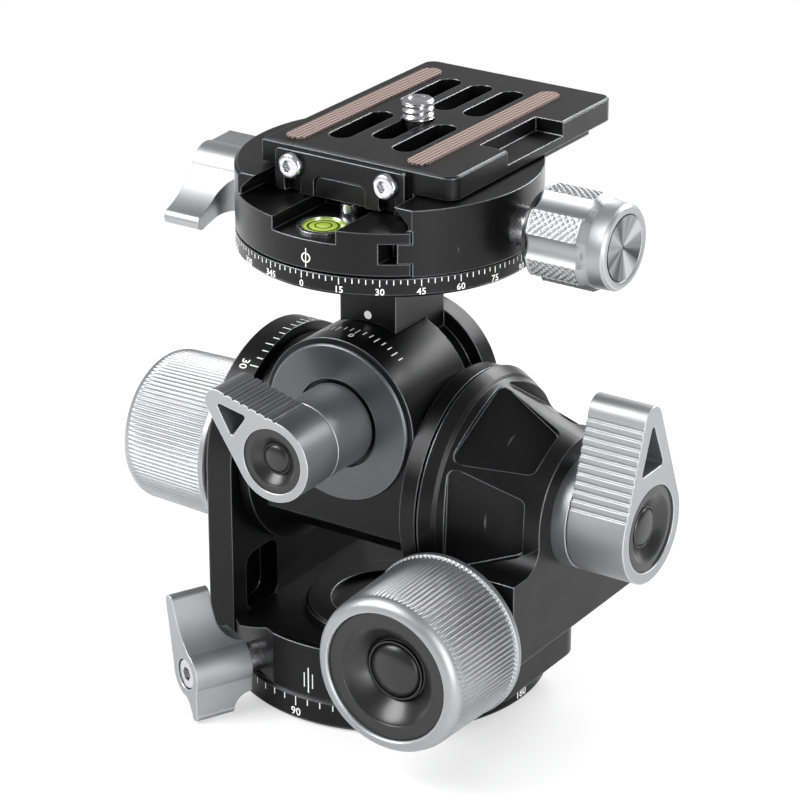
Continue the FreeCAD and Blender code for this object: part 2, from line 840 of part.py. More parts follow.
def cone_pocket_shape():
    """Four triangular pockets sunk square to the cone, wide at the rim and narrow at the boss."""
    slope = math.atan2(
        number(S.cone_radius - S.boss_radius),
        number(S.housing_outside - S.housing_inside - S.rim_width),
    )
    start = number(S.housing_inside + S.rim_width) + 1.6
    end = number(S.housing_outside) - 3.0
    length = end - start
    half_rib = number(S.rib_width) / 2.0
    pitch = math.radians(60.0)
    cone_at = number(S.cone_radius) - (start - number(S.housing_inside + S.rim_width)) * math.tan(slope)
    far_radius = cone_at - length * math.tan(slope)
    wide = cone_at * math.tan(pitch / 2.0) - half_rib
    narrow = far_radius * math.tan(pitch / 2.0) - half_rib
    # The floor leans in a little more than the cone, so a pocket is deepest next to the boss.
    lean = slope + math.radians(2.0)
    points = [
        FreeCAD.Vector(0, -wide, 0),
        FreeCAD.Vector(length / math.cos(slope), -narrow * 0.75, 0),
        FreeCAD.Vector(length / math.cos(slope), narrow * 0.75, 0),
        FreeCAD.Vector(0, wide, 0),
    ]
    wire = rounded_polygon(points, 1.6)
    depth = number(S.pocket_depth)
    prism = Part.Face(wire).extrude(FreeCAD.Vector(0, 0, depth + 6.0))
    prism.translate(FreeCAD.Vector(0, 0, -depth))
    prism.rotate(FreeCAD.Vector(), FreeCAD.Vector(0, 1, 0), math.degrees(lean))
    prism.translate(FreeCAD.Vector(start, 0, cone_at))
    shapes = []
    for turn in (27.0, 87.0, -33.0):
        copy = prism.copy()
        copy.rotate(FreeCAD.Vector(), AXES["x"], turn)
        copy.translate(FreeCAD.Vector(0, 0, number(S.tilt_height)))
        shapes.append(copy)
    return Part.makeCompound(shapes)


def framed(point, along, towards):
    """Placement that carries +Z to one direction and +X to another, square to it."""
    turn = FreeCAD.Rotation(towards, along.cross(towards), along, "ZXY")
    return FreeCAD.Placement(point, turn)


def wheel_shape(start, axis, towards_worm):
    """A worm wheel: straight teeth with slanted flanks. A gap faces the worm at rest."""
    module = number(S.tooth_module)
    count = int(round(number(S.wheel_teeth)))
    pitch_radius = module * count / 2.0
    tip = pitch_radius + module * 0.8
    root = pitch_radius - module * 1.0
    step = 2.0 * math.pi / count
    corners = []
    for i in range(count):
        middle = (i + 0.5) * step
        for radius, share in ((root, -0.36), (tip, -0.12), (tip, 0.12), (root, 0.36)):
            angle = middle + share * step
            corners.append(FreeCAD.Vector(radius * math.cos(angle), radius * math.sin(angle), 0))
    wire = Part.makePolygon(corners + [corners[0]])
    solid = Part.Face(wire).extrude(FreeCAD.Vector(0, 0, number(S.wheel_width)))
    solid.Placement = framed(start, axis, towards_worm)
    return solid


def worm_shape(middle, axis, shaft_start, shaft_end):
    """A worm: a core with one right-hand thread, whose crest faces the wheel's gap, and its shaft."""
    module = number(S.tooth_module)
    pitch = math.pi * module
    radius = number(S.worm_radius)
    turns = number(S.worm_turns)
    root = radius - module * 1.0
    tip = radius + module * 0.8
    length = pitch * turns
    helix = Part.makeHelix(pitch, length, root)
    half_foot = pitch * 0.30
    half_tip = pitch * 0.12
    section = Part.makePolygon([
        FreeCAD.Vector(root - 0.3, 0, -half_foot),
        FreeCAD.Vector(tip, 0, -half_tip),
        FreeCAD.Vector(tip, 0, half_tip),
        FreeCAD.Vector(root - 0.3, 0, half_foot),
        FreeCAD.Vector(root - 0.3, 0, -half_foot),
    ])
    thread = Part.Wire(helix).makePipeShell([section], True, True)
    core = Part.makeCylinder(root, length + pitch, FreeCAD.Vector(0, 0, -pitch / 2.0))
    body = core.fuse(thread)
    body.translate(FreeCAD.Vector(0, 0, -length / 2.0))
    shaft = Part.makeCylinder(number(S.shaft_radius), shaft_end - shaft_start, FreeCAD.Vector(0, 0, shaft_start))
    body = body.fuse(shaft)
    body.Placement = framed(middle, axis, AXES["z"])
    return body


def make_worm_drives():
    """Both worms and wheels: one tilts the middle body in the frame, one tilts the yoke in it."""
    start = vector(S.drive_place - S.wheel_width / 2.0, 0, S.tilt_height)
    wheel = wheel_shape(start, AXES["x"], -AXES["z"])
    hub_start = S.housing_inside - S.gap - S.hub_depth
    hub_length = start.x - number(hub_start)
    hub = Part.makeCylinder(number(S.hub_radius), hub_length, start - AXES["x"] * hub_length, AXES["x"])
    bore = Part.makeCylinder(
        number(S.release_shaft_radius + S.running_fit),
        60.0,
        start - AXES["x"] * 30.0,
        AXES["x"],
    )
    keep("tilt_worm_wheel", made("TiltWormWheel", wheel.fuse(hub).cut(bore)))
    middle = vector(S.drive_place, 0, S.worm_height)
    back = number(S.housing_half_depth) - 5.0
    front = number(S.front_knob_back) + 12.0
    keep("front_worm_shaft", made("FrontWormShaft", worm_shape(middle, -AXES["y"], -back, front)))
    roll_wheel_start = vector(0, -S.wheel_width / 2.0, S.roll_height)
    roll_wheel = wheel_shape(roll_wheel_start, AXES["y"], -AXES["z"])
    roll_bore = Part.makeCylinder(
        number(S.roll_shaft_radius),
        40.0,
        roll_wheel_start - AXES["y"] * 20.0,
        AXES["y"],
    )
    keep("roll_worm_wheel", made("RollWormWheel", roll_wheel.cut(roll_bore)))
    roll_middle = vector(0, 0, S.roll_worm_height)
    left = number(S.left_knob_back) + 12.0
    keep("left_worm_shaft", made("LeftWormShaft", worm_shape(roll_middle, -AXES["x"], -10.0, left)))


def knob_profile():
    """Places along a geared knob, from its back rim to its nose, with radii."""
    length = S.knob_length
    return [
        (ZERO, S.shaft_radius),
        (ZERO, S.knob_radius - S.edge),
        (S.edge, S.knob_radius),
        (S.knob_rim, S.knob_radius),
        (length - S.knob_bevel, S.knob_nose_radius),
        (length, S.knob_nose_radius - S.knob_bevel),
        (length, S.dish_radius),
        (length - S.dish_depth, S.dish_radius),
        (length - S.dish_depth, S.shaft_radius),
    ]


def make_geared_knob(label, name, axis, centre, back):
    """A tapered knob with a dished insert in its nose. It points to -axis."""
    profile = [(-back - along, radius) for along, radius in knob_profile()]
    keep(label, turned(name, axis, centre, profile))
    insert = bowl(-back - S.knob_length + S.dish_depth, S.dish_radius, S.dish_depth, -1.0)
    keep(label + "_insert", turned(name + "Insert", axis, centre, insert))


def bowl(floor, radius, depth, sense):
    """Profile of a dished insert: a thin lip, a hollow that sinks to the middle, and a low button.

    Places run along the axis in the sense given.
    """
    return [
        (floor, ZERO),
        (floor, radius),
        (floor + depth * 0.86 * sense, radius),
        (floor + depth * 0.52 * sense, radius * 0.82),
        (floor + depth * 0.33 * sense, radius * 0.64),
        (floor + depth * 0.24 * sense, radius * 0.46),
        (floor + depth * 0.40 * sense, radius * 0.38),
        (floor + depth * 0.45 * sense, ZERO),
    ]


def make_knobs():
    worm_height = S.worm_height
    make_geared_knob("front_knob", "FrontKnob", "y", (S.drive_place, worm_height), S.front_knob_back)
    make_geared_knob("left_knob", "LeftKnob", "x", (ZERO, S.roll_worm_height), S.left_knob_back)


def lever_shape(radius, tip_radius, reach, angle, depth, grooves):
    """A release lever in its own plane: barrel, pointed arm, window and thumb grooves."""
    heading = math.radians(angle)
    tip = (reach * math.cos(heading), reach * math.sin(heading))
    wire = moved_hull((0.0, 0.0), radius, tip, tip_radius)
    solid = Part.Face(wire).extrude(FreeCAD.Vector(0, 0, depth))
    dish_radius = radius * number(S.lever_dish_share)
    dish = Part.makeCylinder(dish_radius, number(S.lever_dish_depth), FreeCAD.Vector(0, 0, depth - number(S.lever_dish_depth)))
    along = FreeCAD.Vector(math.cos(heading), math.sin(heading), 0)
    across = FreeCAD.Vector(-math.sin(heading), math.cos(heading), 0)
    near = radius + tip_radius * 0.35
    spread = tip_radius + (radius - tip_radius) * (reach - near) / reach - radius * 0.22
    far = reach + tip_radius * 0.1
    window = rounded_polygon(
        [along * far, along * near - across * spread, along * near + across * spread],
        tip_radius * 0.22,
    )
    hole = Part.Face(window).extrude(FreeCAD.Vector(0, 0, depth))
    solid = solid.cut(dish).cut(hole)
    lean = math.acos((radius - tip_radius) / reach)
    side = FreeCAD.Vector(math.cos(heading + lean), math.sin(heading + lean), 0)
    run = math.sqrt(reach ** 2 - (radius - tip_radius) ** 2)
    flank = FreeCAD.Vector(-side.y, side.x, 0)
    if flank.dot(along) < 0:
        flank = -flank
    cuts = []
    for i in range(grooves):
        spot = side * radius + flank * (run * (0.04 + 0.92 * (i + 0.5) / grooves))
        cuts.append(Part.makeCylinder(number(S.groove_radius), depth, spot))
    return solid.cut(Part.makeCompound(cuts))


def make_side_lever():
    """Lever that releases the tilt drive, with its collar, dish and shaft."""
    depth = number(S.side_lever_end - S.side_lever_start)
    shape = lever_shape(
        number(S.side_lever_radius), number(S.side_tip_radius), number(S.side_tip_reach), 91.3, depth, 11,
    )
    shape.Placement = FreeCAD.Placement(vector(S.side_lever_start, 0, S.tilt_height), SIDE_VIEW)
    keep("side_lever", made("SideLever", shape))
    collar = [
        (S.housing_outside, S.release_shaft_radius + S.running_fit),
        (S.housing_outside, S.side_lever_radius),
        (S.side_lever_start - S.gap, S.side_lever_radius),
        (S.side_lever_start - S.gap, S.release_shaft_radius + S.running_fit),
    ]
    keep("side_collar", turned("SideCollar", "x", (ZERO, S.tilt_height), collar))
    dish_floor = S.side_lever_end - S.lever_dish_depth
    dish = bowl(dish_floor, S.side_lever_radius * S.lever_dish_share, S.lever_dish_depth, 1.0)
    keep("side_lever_insert", turned("SideLeverInsert", "x", (ZERO, S.tilt_height), dish))
    start = S.drive_place - S.wheel_width / 2.0
    shaft = rod(
        "SideShaft",
        "x",
        (start, ZERO, S.tilt_height),
        S.release_shaft_radius - S.running_fit,
        S.side_lever_start - start,
    )
    keep("side_lever_shaft", shaft)


def make_front_lever():
    """Lever that releases the roll drive, with its collar, dish and shaft."""
    depth = number(S.front_lever_end - S.front_lever_start)
    shape = lever_shape(
        number(S.front_lever_radius),
        number(S.front_tip_radius),
        number(S.front_tip_reach),
        number(S.front_tip_angle),
        depth,
        7,
    )
    shape = shape.mirror(FreeCAD.Vector(), FreeCAD.Vector(math.sin(math.radians(number(S.front_tip_angle))), -math.cos(math.radians(number(S.front_tip_angle))), 0))
    shape.Placement = FreeCAD.Placement(vector(0, -S.front_lever_start, S.roll_height), FRONT_VIEW)
    keep("front_lever", made("FrontLever", shape))
    collar = [
        (-S.barrel_front - S.disc_thickness, S.release_shaft_radius + S.running_fit),
        (-S.barrel_front - S.disc_thickness, S.front_lever_radius),
        (-S.front_lever_start + S.gap, S.front_lever_radius),
        (-S.front_lever_start + S.gap, S.release_shaft_radius + S.running_fit),
    ]
    keep("front_collar", turned("FrontCollar", "y", (ZERO, S.roll_height), collar))
    dish_floor = S.lever_dish_depth - S.front_lever_end
    dish = bowl(dish_floor, S.front_lever_radius * S.lever_dish_share, S.lever_dish_depth, -1.0)
    keep("front_lever_insert", turned("FrontLeverInsert", "y", (ZERO, S.roll_height), dish))
    shaft = rod(
        "FrontShaft",
        "y",
        (ZERO, -S.front_lever_start, S.roll_height),
        S.release_shaft_radius - S.running_fit,
        S.front_lever_start - S.wheel_width / 2.0 - S.gap,
    )
    keep("front_lever_shaft", shaft)


def make_middle_body():
    """Two crossed barrels; the side-to-side one flares to a flange at each end."""
    left = -S.arm_inside + S.gap
    right = S.housing_inside - S.gap
    flange = S.rim_radius - 0.4
    left_flange = S.arm_radius - 2.0
    barrel = turned("TiltBarrel", "x", (ZERO, S.tilt_height), [
        (left, ZERO),
        (left, left_flange - S.edge / 2.0),
        (left + S.edge / 2.0, left_flange),
        (left + 2.4, left_flange),
        (left + 2.4, left_flange - 0.4, S.flare_radius),
        (left + 6.4, S.barrel_radius),
        (right - S.flange_width - 4.8, S.barrel_radius, S.flare_radius),
        (right - S.flange_width, flange - 0.8),
        (right - S.flange_width + S.edge, flange),
        (right, flange),
        (right, ZERO),
    ])
    cross = rod(
        "RollBarrel",
        "y",
        (ZERO, -S.barrel_front, S.roll_height),
        S.barrel_radius,
        S.barrel_front + S.barrel_back,
    )
    neck = box(
        "BarrelNeck",
        (-S.barrel_radius, -S.barrel_front, S.tilt_height - S.barrel_radius * 0.45),
        (S.barrel_radius, S.barrel_back, S.roll_height),
    )
    trunnion = rod(
        "Trunnion",
        "x",
        (-S.arm_inside - S.arm_thickness - 1.0, ZERO, S.tilt_height),
        S.trunnion_radius,
        S.arm_thickness + 6.0,
    )
    blank = fuse("MiddleBlank", barrel, cross, neck, trunnion)
    half_wheel = S.wheel_width / 2.0 + S.gap
    wheel_radius = S.tooth_module * S.wheel_teeth / 2.0 + S.tooth_module + S.gap
    wheel_room = rod(
        "RollWheelRoom",
        "y",
        (ZERO, -half_wheel, S.roll_height),
        wheel_radius,
        half_wheel + S.barrel_back,
    )
    worm_height = S.roll_worm_height
    half_worm = S.worm_half_room
    worm_room = rod(
        "RollWormRoom",
        "x",
        (-half_worm, ZERO, worm_height),
        S.worm_radius + S.tooth_module + S.gap,
        half_worm * 2.0,
    )
    worm_way = rod(
        "RollShaftWay",
        "x",
        (-S.arm_inside - S.arm_thickness - 1.0, ZERO, worm_height),
        S.shaft_radius + S.running_fit,
        S.arm_inside + S.arm_thickness + 12.0,
    )
    lever_way = rod(
        "FrontShaftWay",
        "y",
        (ZERO, -S.barrel_front, S.roll_height),
        S.release_shaft_radius,
        S.barrel_front,
    )
    hub_way = rod(
        "HubWay",
        "x",
        (right - S.hub_depth, ZERO, S.tilt_height),
        S.hub_radius + S.running_fit,
        S.hub_depth + 1.0,
    )
    flange_room = rod(
        "RearFlangeRoom",
        "y",
        (ZERO, S.barrel_back, S.roll_height),
        S.flange_radius + S.gap,
        S.arm_radius,
    )
    tools = [wheel_room, worm_room, worm_way, lever_way, hub_way, flange_room]
    keep("middle_body", cut("MiddleBody", blank, *tools))
    ring = [
        (-S.barrel_front - S.disc_thickness, S.disc_bore),
        (-S.barrel_front - S.disc_thickness, S.disc_radius - S.edge / 2.0),
        (-S.barrel_front - S.disc_thickness + S.edge / 2.0, S.disc_radius),
        (-S.barrel_front, S.disc_radius),
        (-S.barrel_front, S.disc_bore),
    ]
    keep("front_ring", turned("FrontRing", "y", (ZERO, S.roll_height), ring))


def make_top_yoke():
    """Stem over the barrel, round rear flange with the tilt shaft, and the pan disc."""
    clearance = S.barrel_radius + S.gap
    stem = box(
        "Stem",
        (-S.stem_half_width, -S.stem_front, S.roll_height),
        (S.stem_half_width, S.stem_back, S.disc_bottom + 1.0),
    )
    room = rod(
        "BarrelRoom",
        "y",
        (ZERO, -S.barrel_front, S.roll_height),
        clearance,
        S.barrel_front + S.flange_front,
    )
    flange = turned("RearFlange", "y", (ZERO, S.roll_height), [
        (S.flange_front, ZERO),
        (S.flange_front, S.flange_radius - 3.0),
        (S.stem_back, S.flange_radius - 3.0),
        (S.stem_back, S.flange_radius),
        (S.flange_back - 1.2, S.flange_radius),
        (S.flange_back, S.flange_radius - 1.2),
        (S.flange_back, ZERO),
    ])
    rear_stem = box(
        "RearStem",
        (-S.stem_half_width, S.flange_front, S.roll_height),
        (S.stem_half_width, S.stem_back, S.disc_bottom + 1.0),
    )
    disc = turned("PanDisc", "z", (ZERO, ZERO), [
        (S.disc_bottom, ZERO),
        (S.disc_bottom, S.pan_radius - S.edge),
        (S.disc_bottom + S.edge, S.pan_radius),
        (S.disc_bottom + S.scale_height, S.pan_radius),
        (S.disc_bottom + S.scale_height, S.top_spigot_radius),
        (S.disc_bottom + S.scale_height + S.top_spigot_height, S.top_spigot_radius),
        (S.disc_bottom + S.scale_height + S.top_spigot_height, ZERO),
    ])
    front_part = cut("StemFront", stem, room)
    shaft = rod(
        "RollShaft",
        "y",
        (ZERO, -S.wheel_width / 2.0, S.roll_height),
        S.roll_shaft_radius,
        S.flange_front + S.wheel_width / 2.0 + 1.0,
    )
    keep("top_yoke", fuse("TopYoke", front_part, flange, rear_stem, disc, shaft))


def make_clamp_body():
    """Turning clamp: fixed jaw, channel, level notch and the fingers that meet the moving jaw."""
    disc = turned("ClampDisc", "z", (ZERO, ZERO), [
        (S.clamp_bottom, S.top_spigot_radius + S.running_fit),
        (S.clamp_bottom, S.pan_radius - S.edge / 2.0),
        (S.clamp_bottom + S.edge / 2.0, S.pan_radius),
        (S.clamp_top - S.edge, S.pan_radius),
        (S.clamp_top, S.pan_radius - S.edge),
        (S.clamp_top, ZERO),
        (S.disc_bottom + S.scale_height + S.top_spigot_height + S.gap, ZERO),
        (S.disc_bottom + S.scale_height + S.top_spigot_height + S.gap, S.top_spigot_radius + S.running_fit),
    ])
    channel = slab("Channel", "XZ_Plane", -S.pan_radius, S.pan_radius * 2.0, [
        (-S.channel_half_width, S.channel_floor),
        (-S.channel_half_width, S.tail_bottom + S.tail_foot + S.running_fit),
        (-S.lip_half_width, S.clamp_top),
        (-S.lip_half_width, S.clamp_top + 1.0),
        (S.pan_radius + 1.0, S.clamp_top + 1.0),
        (S.pan_radius + 1.0, S.channel_floor),
    ])
    front_cut = box(
        "FrontCut",
        (-S.pan_radius, -S.pan_radius, S.channel_floor),
        (S.pan_radius, -S.jaw_front, S.clamp_top + 1.0),
    )
    notch = box(
        "LevelNotch",
        (-S.level_notch_half_width, -S.pan_radius, S.level_notch_floor),
        (S.level_notch_half_width, -S.pin_y + S.pin_radius + 1.0, S.clamp_top),
    )
    well = rod(
        "LevelWell",
        "z",
        (ZERO, -S.level_middle, S.level_floor),
        S.level_radius + S.running_fit,
        S.clamp_top - S.level_floor,
    )
    jaw_room = made("JawRoom", jaw_shape(number(S.finger_gap), True))
    screw_hole = rod(
        "ClampScrewHole",
        "x",
        (S.top_spigot_radius + S.gap, ZERO, S.jaw_screw_height),
        S.clamp_screw_radius + S.running_fit,
        S.pan_radius,
    )
    pins = [
        rod(
            "GuideHole%d" % i,
            "x",
            (S.guide_start, S.guide_place * side, S.jaw_screw_height - 1.0),
            S.guide_radius,
            S.pan_radius,
        )
        for i, side in enumerate((-1.0, 1.0))
    ]
    lock_hole = rod(
        "TopLockHole",
        "x",
        (-S.pan_radius - 1.0, ZERO, S.top_lock_height),
        S.lock_stem_radius + S.running_fit,
        Size("11", 11.0),
    )
    pin_hole = rod(
        "StopPinHole",
        "z",
        (S.pin_x, -S.pin_y, S.pin_bottom),
        S.pin_radius,
        S.level_notch_floor - S.pin_bottom,
    )
    tools = [channel, front_cut, notch, well, jaw_room, screw_hole, lock_hole, pin_hole] + pins
    keep("clamp_body", cut("ClampBody", disc, *tools))
    for i, side in enumerate((-1.0, 1.0)):
        pin = rod(
            "GuidePin%d" % i,
            "x",
            (S.guide_start, S.guide_place * side, S.jaw_screw_height - 1.0),
            S.guide_radius - S.running_fit,
            S.jaw_split + 4.0 - S.guide_start,
        )
        keep("guide_pin_front" if side < 0 else "guide_pin_rear", pin)


def make_stop_pin():
    """Short pin behind the level, from the notch floor up to just under the plate."""
    keep("stop_pin", turned("StopPin", "z", (S.pin_x, -S.pin_y), [
        (S.pin_bottom, ZERO),
        (S.pin_bottom, S.pin_radius),
        (S.pin_top - 0.4, S.pin_radius),
        (S.pin_top, S.pin_radius - 0.4),
        (S.pin_top, ZERO),
    ]))


def jaw_shape(gap, room):
    """The moving jaw, or the room it leaves in the clamp body when room is true."""
    radius = number(S.pan_radius) + (1.0 if room else 0.0)
    low = number(S.clamp_bottom) - (1.0 if room else 0.0)
    top = number(S.clamp_top) + (2.0 if room else 0.0)
    round_bar = Part.makeCylinder(radius, top - low, FreeCAD.Vector(0, 0, low))
    split = number(S.jaw_split) - (gap * 0.0 if room else -gap)
    block = Part.makeBox(60, 80, top - low, FreeCAD.Vector(split, -40, low))
    finger_gap = gap if room else 0.0
    finger = Part.makeBox(
        60,
        9.0,
        number(S.finger_high - S.finger_low) + (0.2 if room else 0.0),
        FreeCAD.Vector(number(S.finger_tip) - finger_gap, -30.0, number(S.finger_low) - (0.1 if room else 0.0)),
    )
    finger_back = finger.copy()
    finger_back.translate(FreeCAD.Vector(0, 51.0, 0))
    return round_bar.common(block.fuse(finger).fuse(finger_back).removeSplitter())


def make_jaw():
    """Moving jaw: outer face on the clamp's round, inner face with the dovetail, two fingers."""
    solid = jaw_shape(number(S.gap), False)
    profile = Part.makePolygon([
        FreeCAD.Vector(0, number(S.channel_floor), 0),
        FreeCAD.Vector(number(S.channel_half_width), number(S.channel_floor), 0),
        FreeCAD.Vector(number(S.channel_half_width), number(S.tail_bottom + S.tail_foot + S.running_fit), 0),
        FreeCAD.Vector(number(S.lip_half_width), number(S.clamp_top), 0),
        FreeCAD.Vector(number(S.lip_half_width), number(S.clamp_top) + 3.0, 0),
        FreeCAD.Vector(0, number(S.clamp_top) + 3.0, 0),
        FreeCAD.Vector(0, number(S.channel_floor), 0),
    ])
    lip = Part.makeBox(
        number(S.jaw_split + S.gap - S.lip_half_width) + 0.01,
        60,
        number(S.clamp_top - S.channel_floor) - 0.3,
        vector(S.lip_half_width, -30, S.channel_floor + 0.3),
    )
    full_round = Part.makeCylinder(
        number(S.pan_radius), number(S.clamp_top - S.clamp_bottom), vector(0, 0, S.clamp_bottom),
    )
    solid = solid.fuse(lip.common(full_round)).removeSplitter()
    channel = extruded(profile, FRONT_VIEW, FreeCAD.Vector(0, 40, 0), FreeCAD.Vector(0, -80, 0))
    front_cut = Part.makeBox(60, 20, 30, vector(0, -S.jaw_front - 20.0, S.finger_high + 2.6))
    screw_hole = Part.makeCylinder(number(S.clamp_stem_radius), 60, vector(0, 0, S.jaw_screw_height), AXES["x"])
    solid = solid.cut(channel).cut(front_cut).cut(screw_hole)
    for side in (-1.0, 1.0):
        spot = vector(0, S.guide_place * side, S.jaw_screw_height - 1.0)
        hole = Part.makeCylinder(number(S.guide_radius), number(S.jaw_split) + 6.0, spot, AXES["x"])
        solid = solid.cut(hole)
    keep("moving_jaw", made("MovingJaw", solid))


def make_clamp_knob():
    """Scalloped knob on a bright stem, with a washer behind and a disc in its end."""
    start = S.clamp_knob_start
    end = start + S.clamp_knob_length
    shell = turned("ClampKnobShell", "x", (ZERO, S.jaw_screw_height), [
        (start, S.clamp_stem_radius),
        (start, S.clamp_knob_radius - S.edge),
        (start + S.edge, S.clamp_knob_radius),
        (end - S.clamp_rim_width - 1.4, S.clamp_knob_radius),
        (end - S.clamp_rim_width, S.clamp_rim_radius),
        (end - S.edge, S.clamp_rim_radius),
        (end, S.clamp_rim_radius - S.edge),
        (end, S.clamp_rim_radius - 1.7),
        (end - 0.8, S.clamp_rim_radius - 1.7),
        (end - 0.8, S.clamp_stem_radius),
    ])
    scallop = rod(
        "Scallop",
        "x",
        (start - 1.0, S.scallop_offset, S.jaw_screw_height),
        S.scallop_radius,
        S.clamp_knob_length - S.clamp_rim_width,
    )
    axis_point = vector(0, 0, S.jaw_screw_height)
    scallops = ring_of(scallop, "Scallops", axis_point, AXES["x"], S.lobe_count, 0.0)
    keep("clamp_knob", cut("ClampKnob", shell, scallops))
    screw_start = S.top_spigot_radius + S.gap * 2.0
    stem = [
        (screw_start, ZERO),
        (screw_start, S.clamp_screw_radius),
        (S.jaw_split + S.gap, S.clamp_screw_radius),
        (S.jaw_split + S.gap, S.clamp_stem_radius - S.running_fit),
        (end - 0.8, S.clamp_stem_radius - S.running_fit),
        (end - 0.8, ZERO),
    ]
    keep("clamp_screw", turned("ClampScrew", "x", (ZERO, S.jaw_screw_height), stem))
    washer = [
        (start - 0.9, S.clamp_stem_radius),
        (start - 0.9, S.clamp_rim_radius),
        (start, S.clamp_rim_radius),
        (start, S.clamp_stem_radius),
    ]
    keep("clamp_washer", turned("ClampWasher", "x", (ZERO, S.jaw_screw_height), washer))
    disc = [
        (end - 0.8, ZERO),
        (end - 0.8, S.clamp_rim_radius - 1.7),
        (end - 0.1, S.clamp_rim_radius - 1.7),
        (end - 0.6, ZERO),
    ]
    keep("clamp_knob_disc", turned("ClampKnobDisc", "x", (ZERO, S.jaw_screw_height), disc))


def wing_shape(hand):
    """A wing handle along +X: hub, a long arm up and a short arm down, leaving from opposite sides."""
    hub = number(S.wing_hub_radius)
    length = number(S.wing_length)
    long_tip, short_tip = number(S.wing_long_tip), number(S.wing_short_tip)
    long_u, long_v = -6.3, number(S.wing_long_reach) - long_tip
    short_u, short_v = 3.6, -number(S.wing_short_reach)

    def arm(tip_u, tip_v, tip, sign):
        # Straight side from the hub's flank, hollow side on an arc.
        heading = math.atan2(tip_v, tip_u)
        out = FreeCAD.Vector(math.cos(heading), math.sin(heading), 0)
        side = FreeCAD.Vector(-out.y, out.x, 0) * sign
        tip_centre = FreeCAD.Vector(tip_u, tip_v, 0)
        flank = side * hub
        hollow_start = out * (hub * 0.35) - side * (hub * 0.937)
        hollow_end = tip_centre - side * tip
        middle = (hollow_start + hollow_end) * 0.5 + side * (hub * 0.28)
        edges = [
            Part.LineSegment(flank, tip_centre + side * tip).toShape(),
            Part.Arc(tip_centre + side * tip, tip_centre + out * tip, hollow_end).toShape(),
            Part.Arc(hollow_end, middle, hollow_start).toShape(),
            Part.LineSegment(hollow_start, flank).toShape(),
        ]
        return Part.Face(Part.Wire(edges))

    long_arm = arm(long_u, long_v, long_tip, 1.0).extrude(FreeCAD.Vector(0, 0, length))
    short_arm = arm(short_u, short_v, short_tip, 1.0).extrude(FreeCAD.Vector(0, 0, length))
    solid = Part.makeCylinder(hub, length).fuse(long_arm).fuse(short_arm).removeSplitter()
    # The arms are shorter than the hub at the stem's end, and run into it with a hollow round.
    step = length * 0.34
    for sign in (1.0, -1.0):
        near = hub * 1.02
        round_size = step * 0.9
        edge_wire = Part.Wire([
            Part.LineSegment(FreeCAD.Vector(-1, near, 0), FreeCAD.Vector(step - round_size, near, 0)).toShape(),
            Part.Arc(
                FreeCAD.Vector(step - round_size, near, 0),
                FreeCAD.Vector(step - round_size * 0.293, near + round_size * 0.293, 0),
                FreeCAD.Vector(step, near + round_size, 0),
            ).toShape(),
            Part.LineSegment(FreeCAD.Vector(step, near + round_size, 0), FreeCAD.Vector(step, 40, 0)).toShape(),
            Part.LineSegment(FreeCAD.Vector(step, 40, 0), FreeCAD.Vector(-1, 40, 0)).toShape(),
            Part.LineSegment(FreeCAD.Vector(-1, 40, 0), FreeCAD.Vector(-1, near, 0)).toShape(),
        ])
        tool = Part.Face(edge_wire).extrude(FreeCAD.Vector(0, 0, 60))
        tool.translate(FreeCAD.Vector(0, 0, -30))
        tool.rotate(FreeCAD.Vector(), FreeCAD.Vector(0, 1, 0), -90)
        if sign < 0:
            tool = tool.mirror(FreeCAD.Vector(), FreeCAD.Vector(0, 1, 0))
        solid = solid.cut(tool)
    bore = Part.makeCylinder(number(S.lock_stem_radius), length)
    head = Part.makeCylinder(
        number(S.lock_screw_radius) + 0.3,
        number(S.lock_screw_head),
        FreeCAD.Vector(0, 0, length - number(S.lock_screw_head)),
    )
    solid = solid.cut(bore).cut(head)
    if hand < 0:
        solid = solid.mirror(FreeCAD.Vector(), FreeCAD.Vector(1, 0, 0))
    return solid


def make_wing_lock(label, name, hand, roll, start, height, turn, reach_in):
    """Wing handle, its threaded stem and the socket screw that holds it, on a level axis."""

    def settle(shape):
        # From the handle's own frame (axis +Z, arm +Y) to the axis through the head's middle.
        shape.rotate(FreeCAD.Vector(), AXES["z"], roll)
        turn_up = FreeCAD.Rotation(FreeCAD.Vector(0, 1, 0), FreeCAD.Vector(0, 0, 1), FreeCAD.Vector(1, 0, 0), "XYZ")
        shape.Placement = FreeCAD.Placement(FreeCAD.Vector(), turn_up).multiply(shape.Placement)
        shape.translate(vector(start, 0, height))
        shape.rotate(FreeCAD.Vector(), AXES["z"], number(turn))
        return shape

    length = number(S.wing_length)
    head = number(S.lock_screw_head)
    keep(label + "_wing", made(name + "Wing", settle(wing_shape(hand))))
    stem = Part.makeCylinder(
        number(S.lock_stem_radius),
        length - head + number(reach_in),
        FreeCAD.Vector(0, 0, -number(reach_in)),
    )
    keep(label + "_stem", made(name + "Stem", settle(stem)))
    screw = Part.makeCylinder(number(S.lock_screw_radius), head - 0.3, FreeCAD.Vector(0, 0, length - head))
    socket = Part.makePolygon([
        FreeCAD.Vector(1.5 * math.cos(math.radians(60 * i)), 1.5 * math.sin(math.radians(60 * i)), 0)
        for i in range(7)
    ])
    hollow = Part.Face(socket).extrude(FreeCAD.Vector(0, 0, 1.2))
    hollow.translate(FreeCAD.Vector(0, 0, length - 0.3 - 1.2))
    keep(label + "_screw", made(name + "Screw", settle(screw.cut(hollow))))


def make_locks():
    make_wing_lock(
        "base_lock", "BaseLock", 1, 0.0, S.base_lock_start, S.base_lock_height, S.facet_angle,
        S.base_lock_start - S.facet_distance + 8.0,
    )
    half_turn = Size("180", 180.0)
    make_wing_lock(
        "top_lock", "TopLock", -1, -92.5, S.top_lock_start, S.top_lock_height, half_turn,
        S.top_lock_start - S.pan_radius + 8.0,
    )


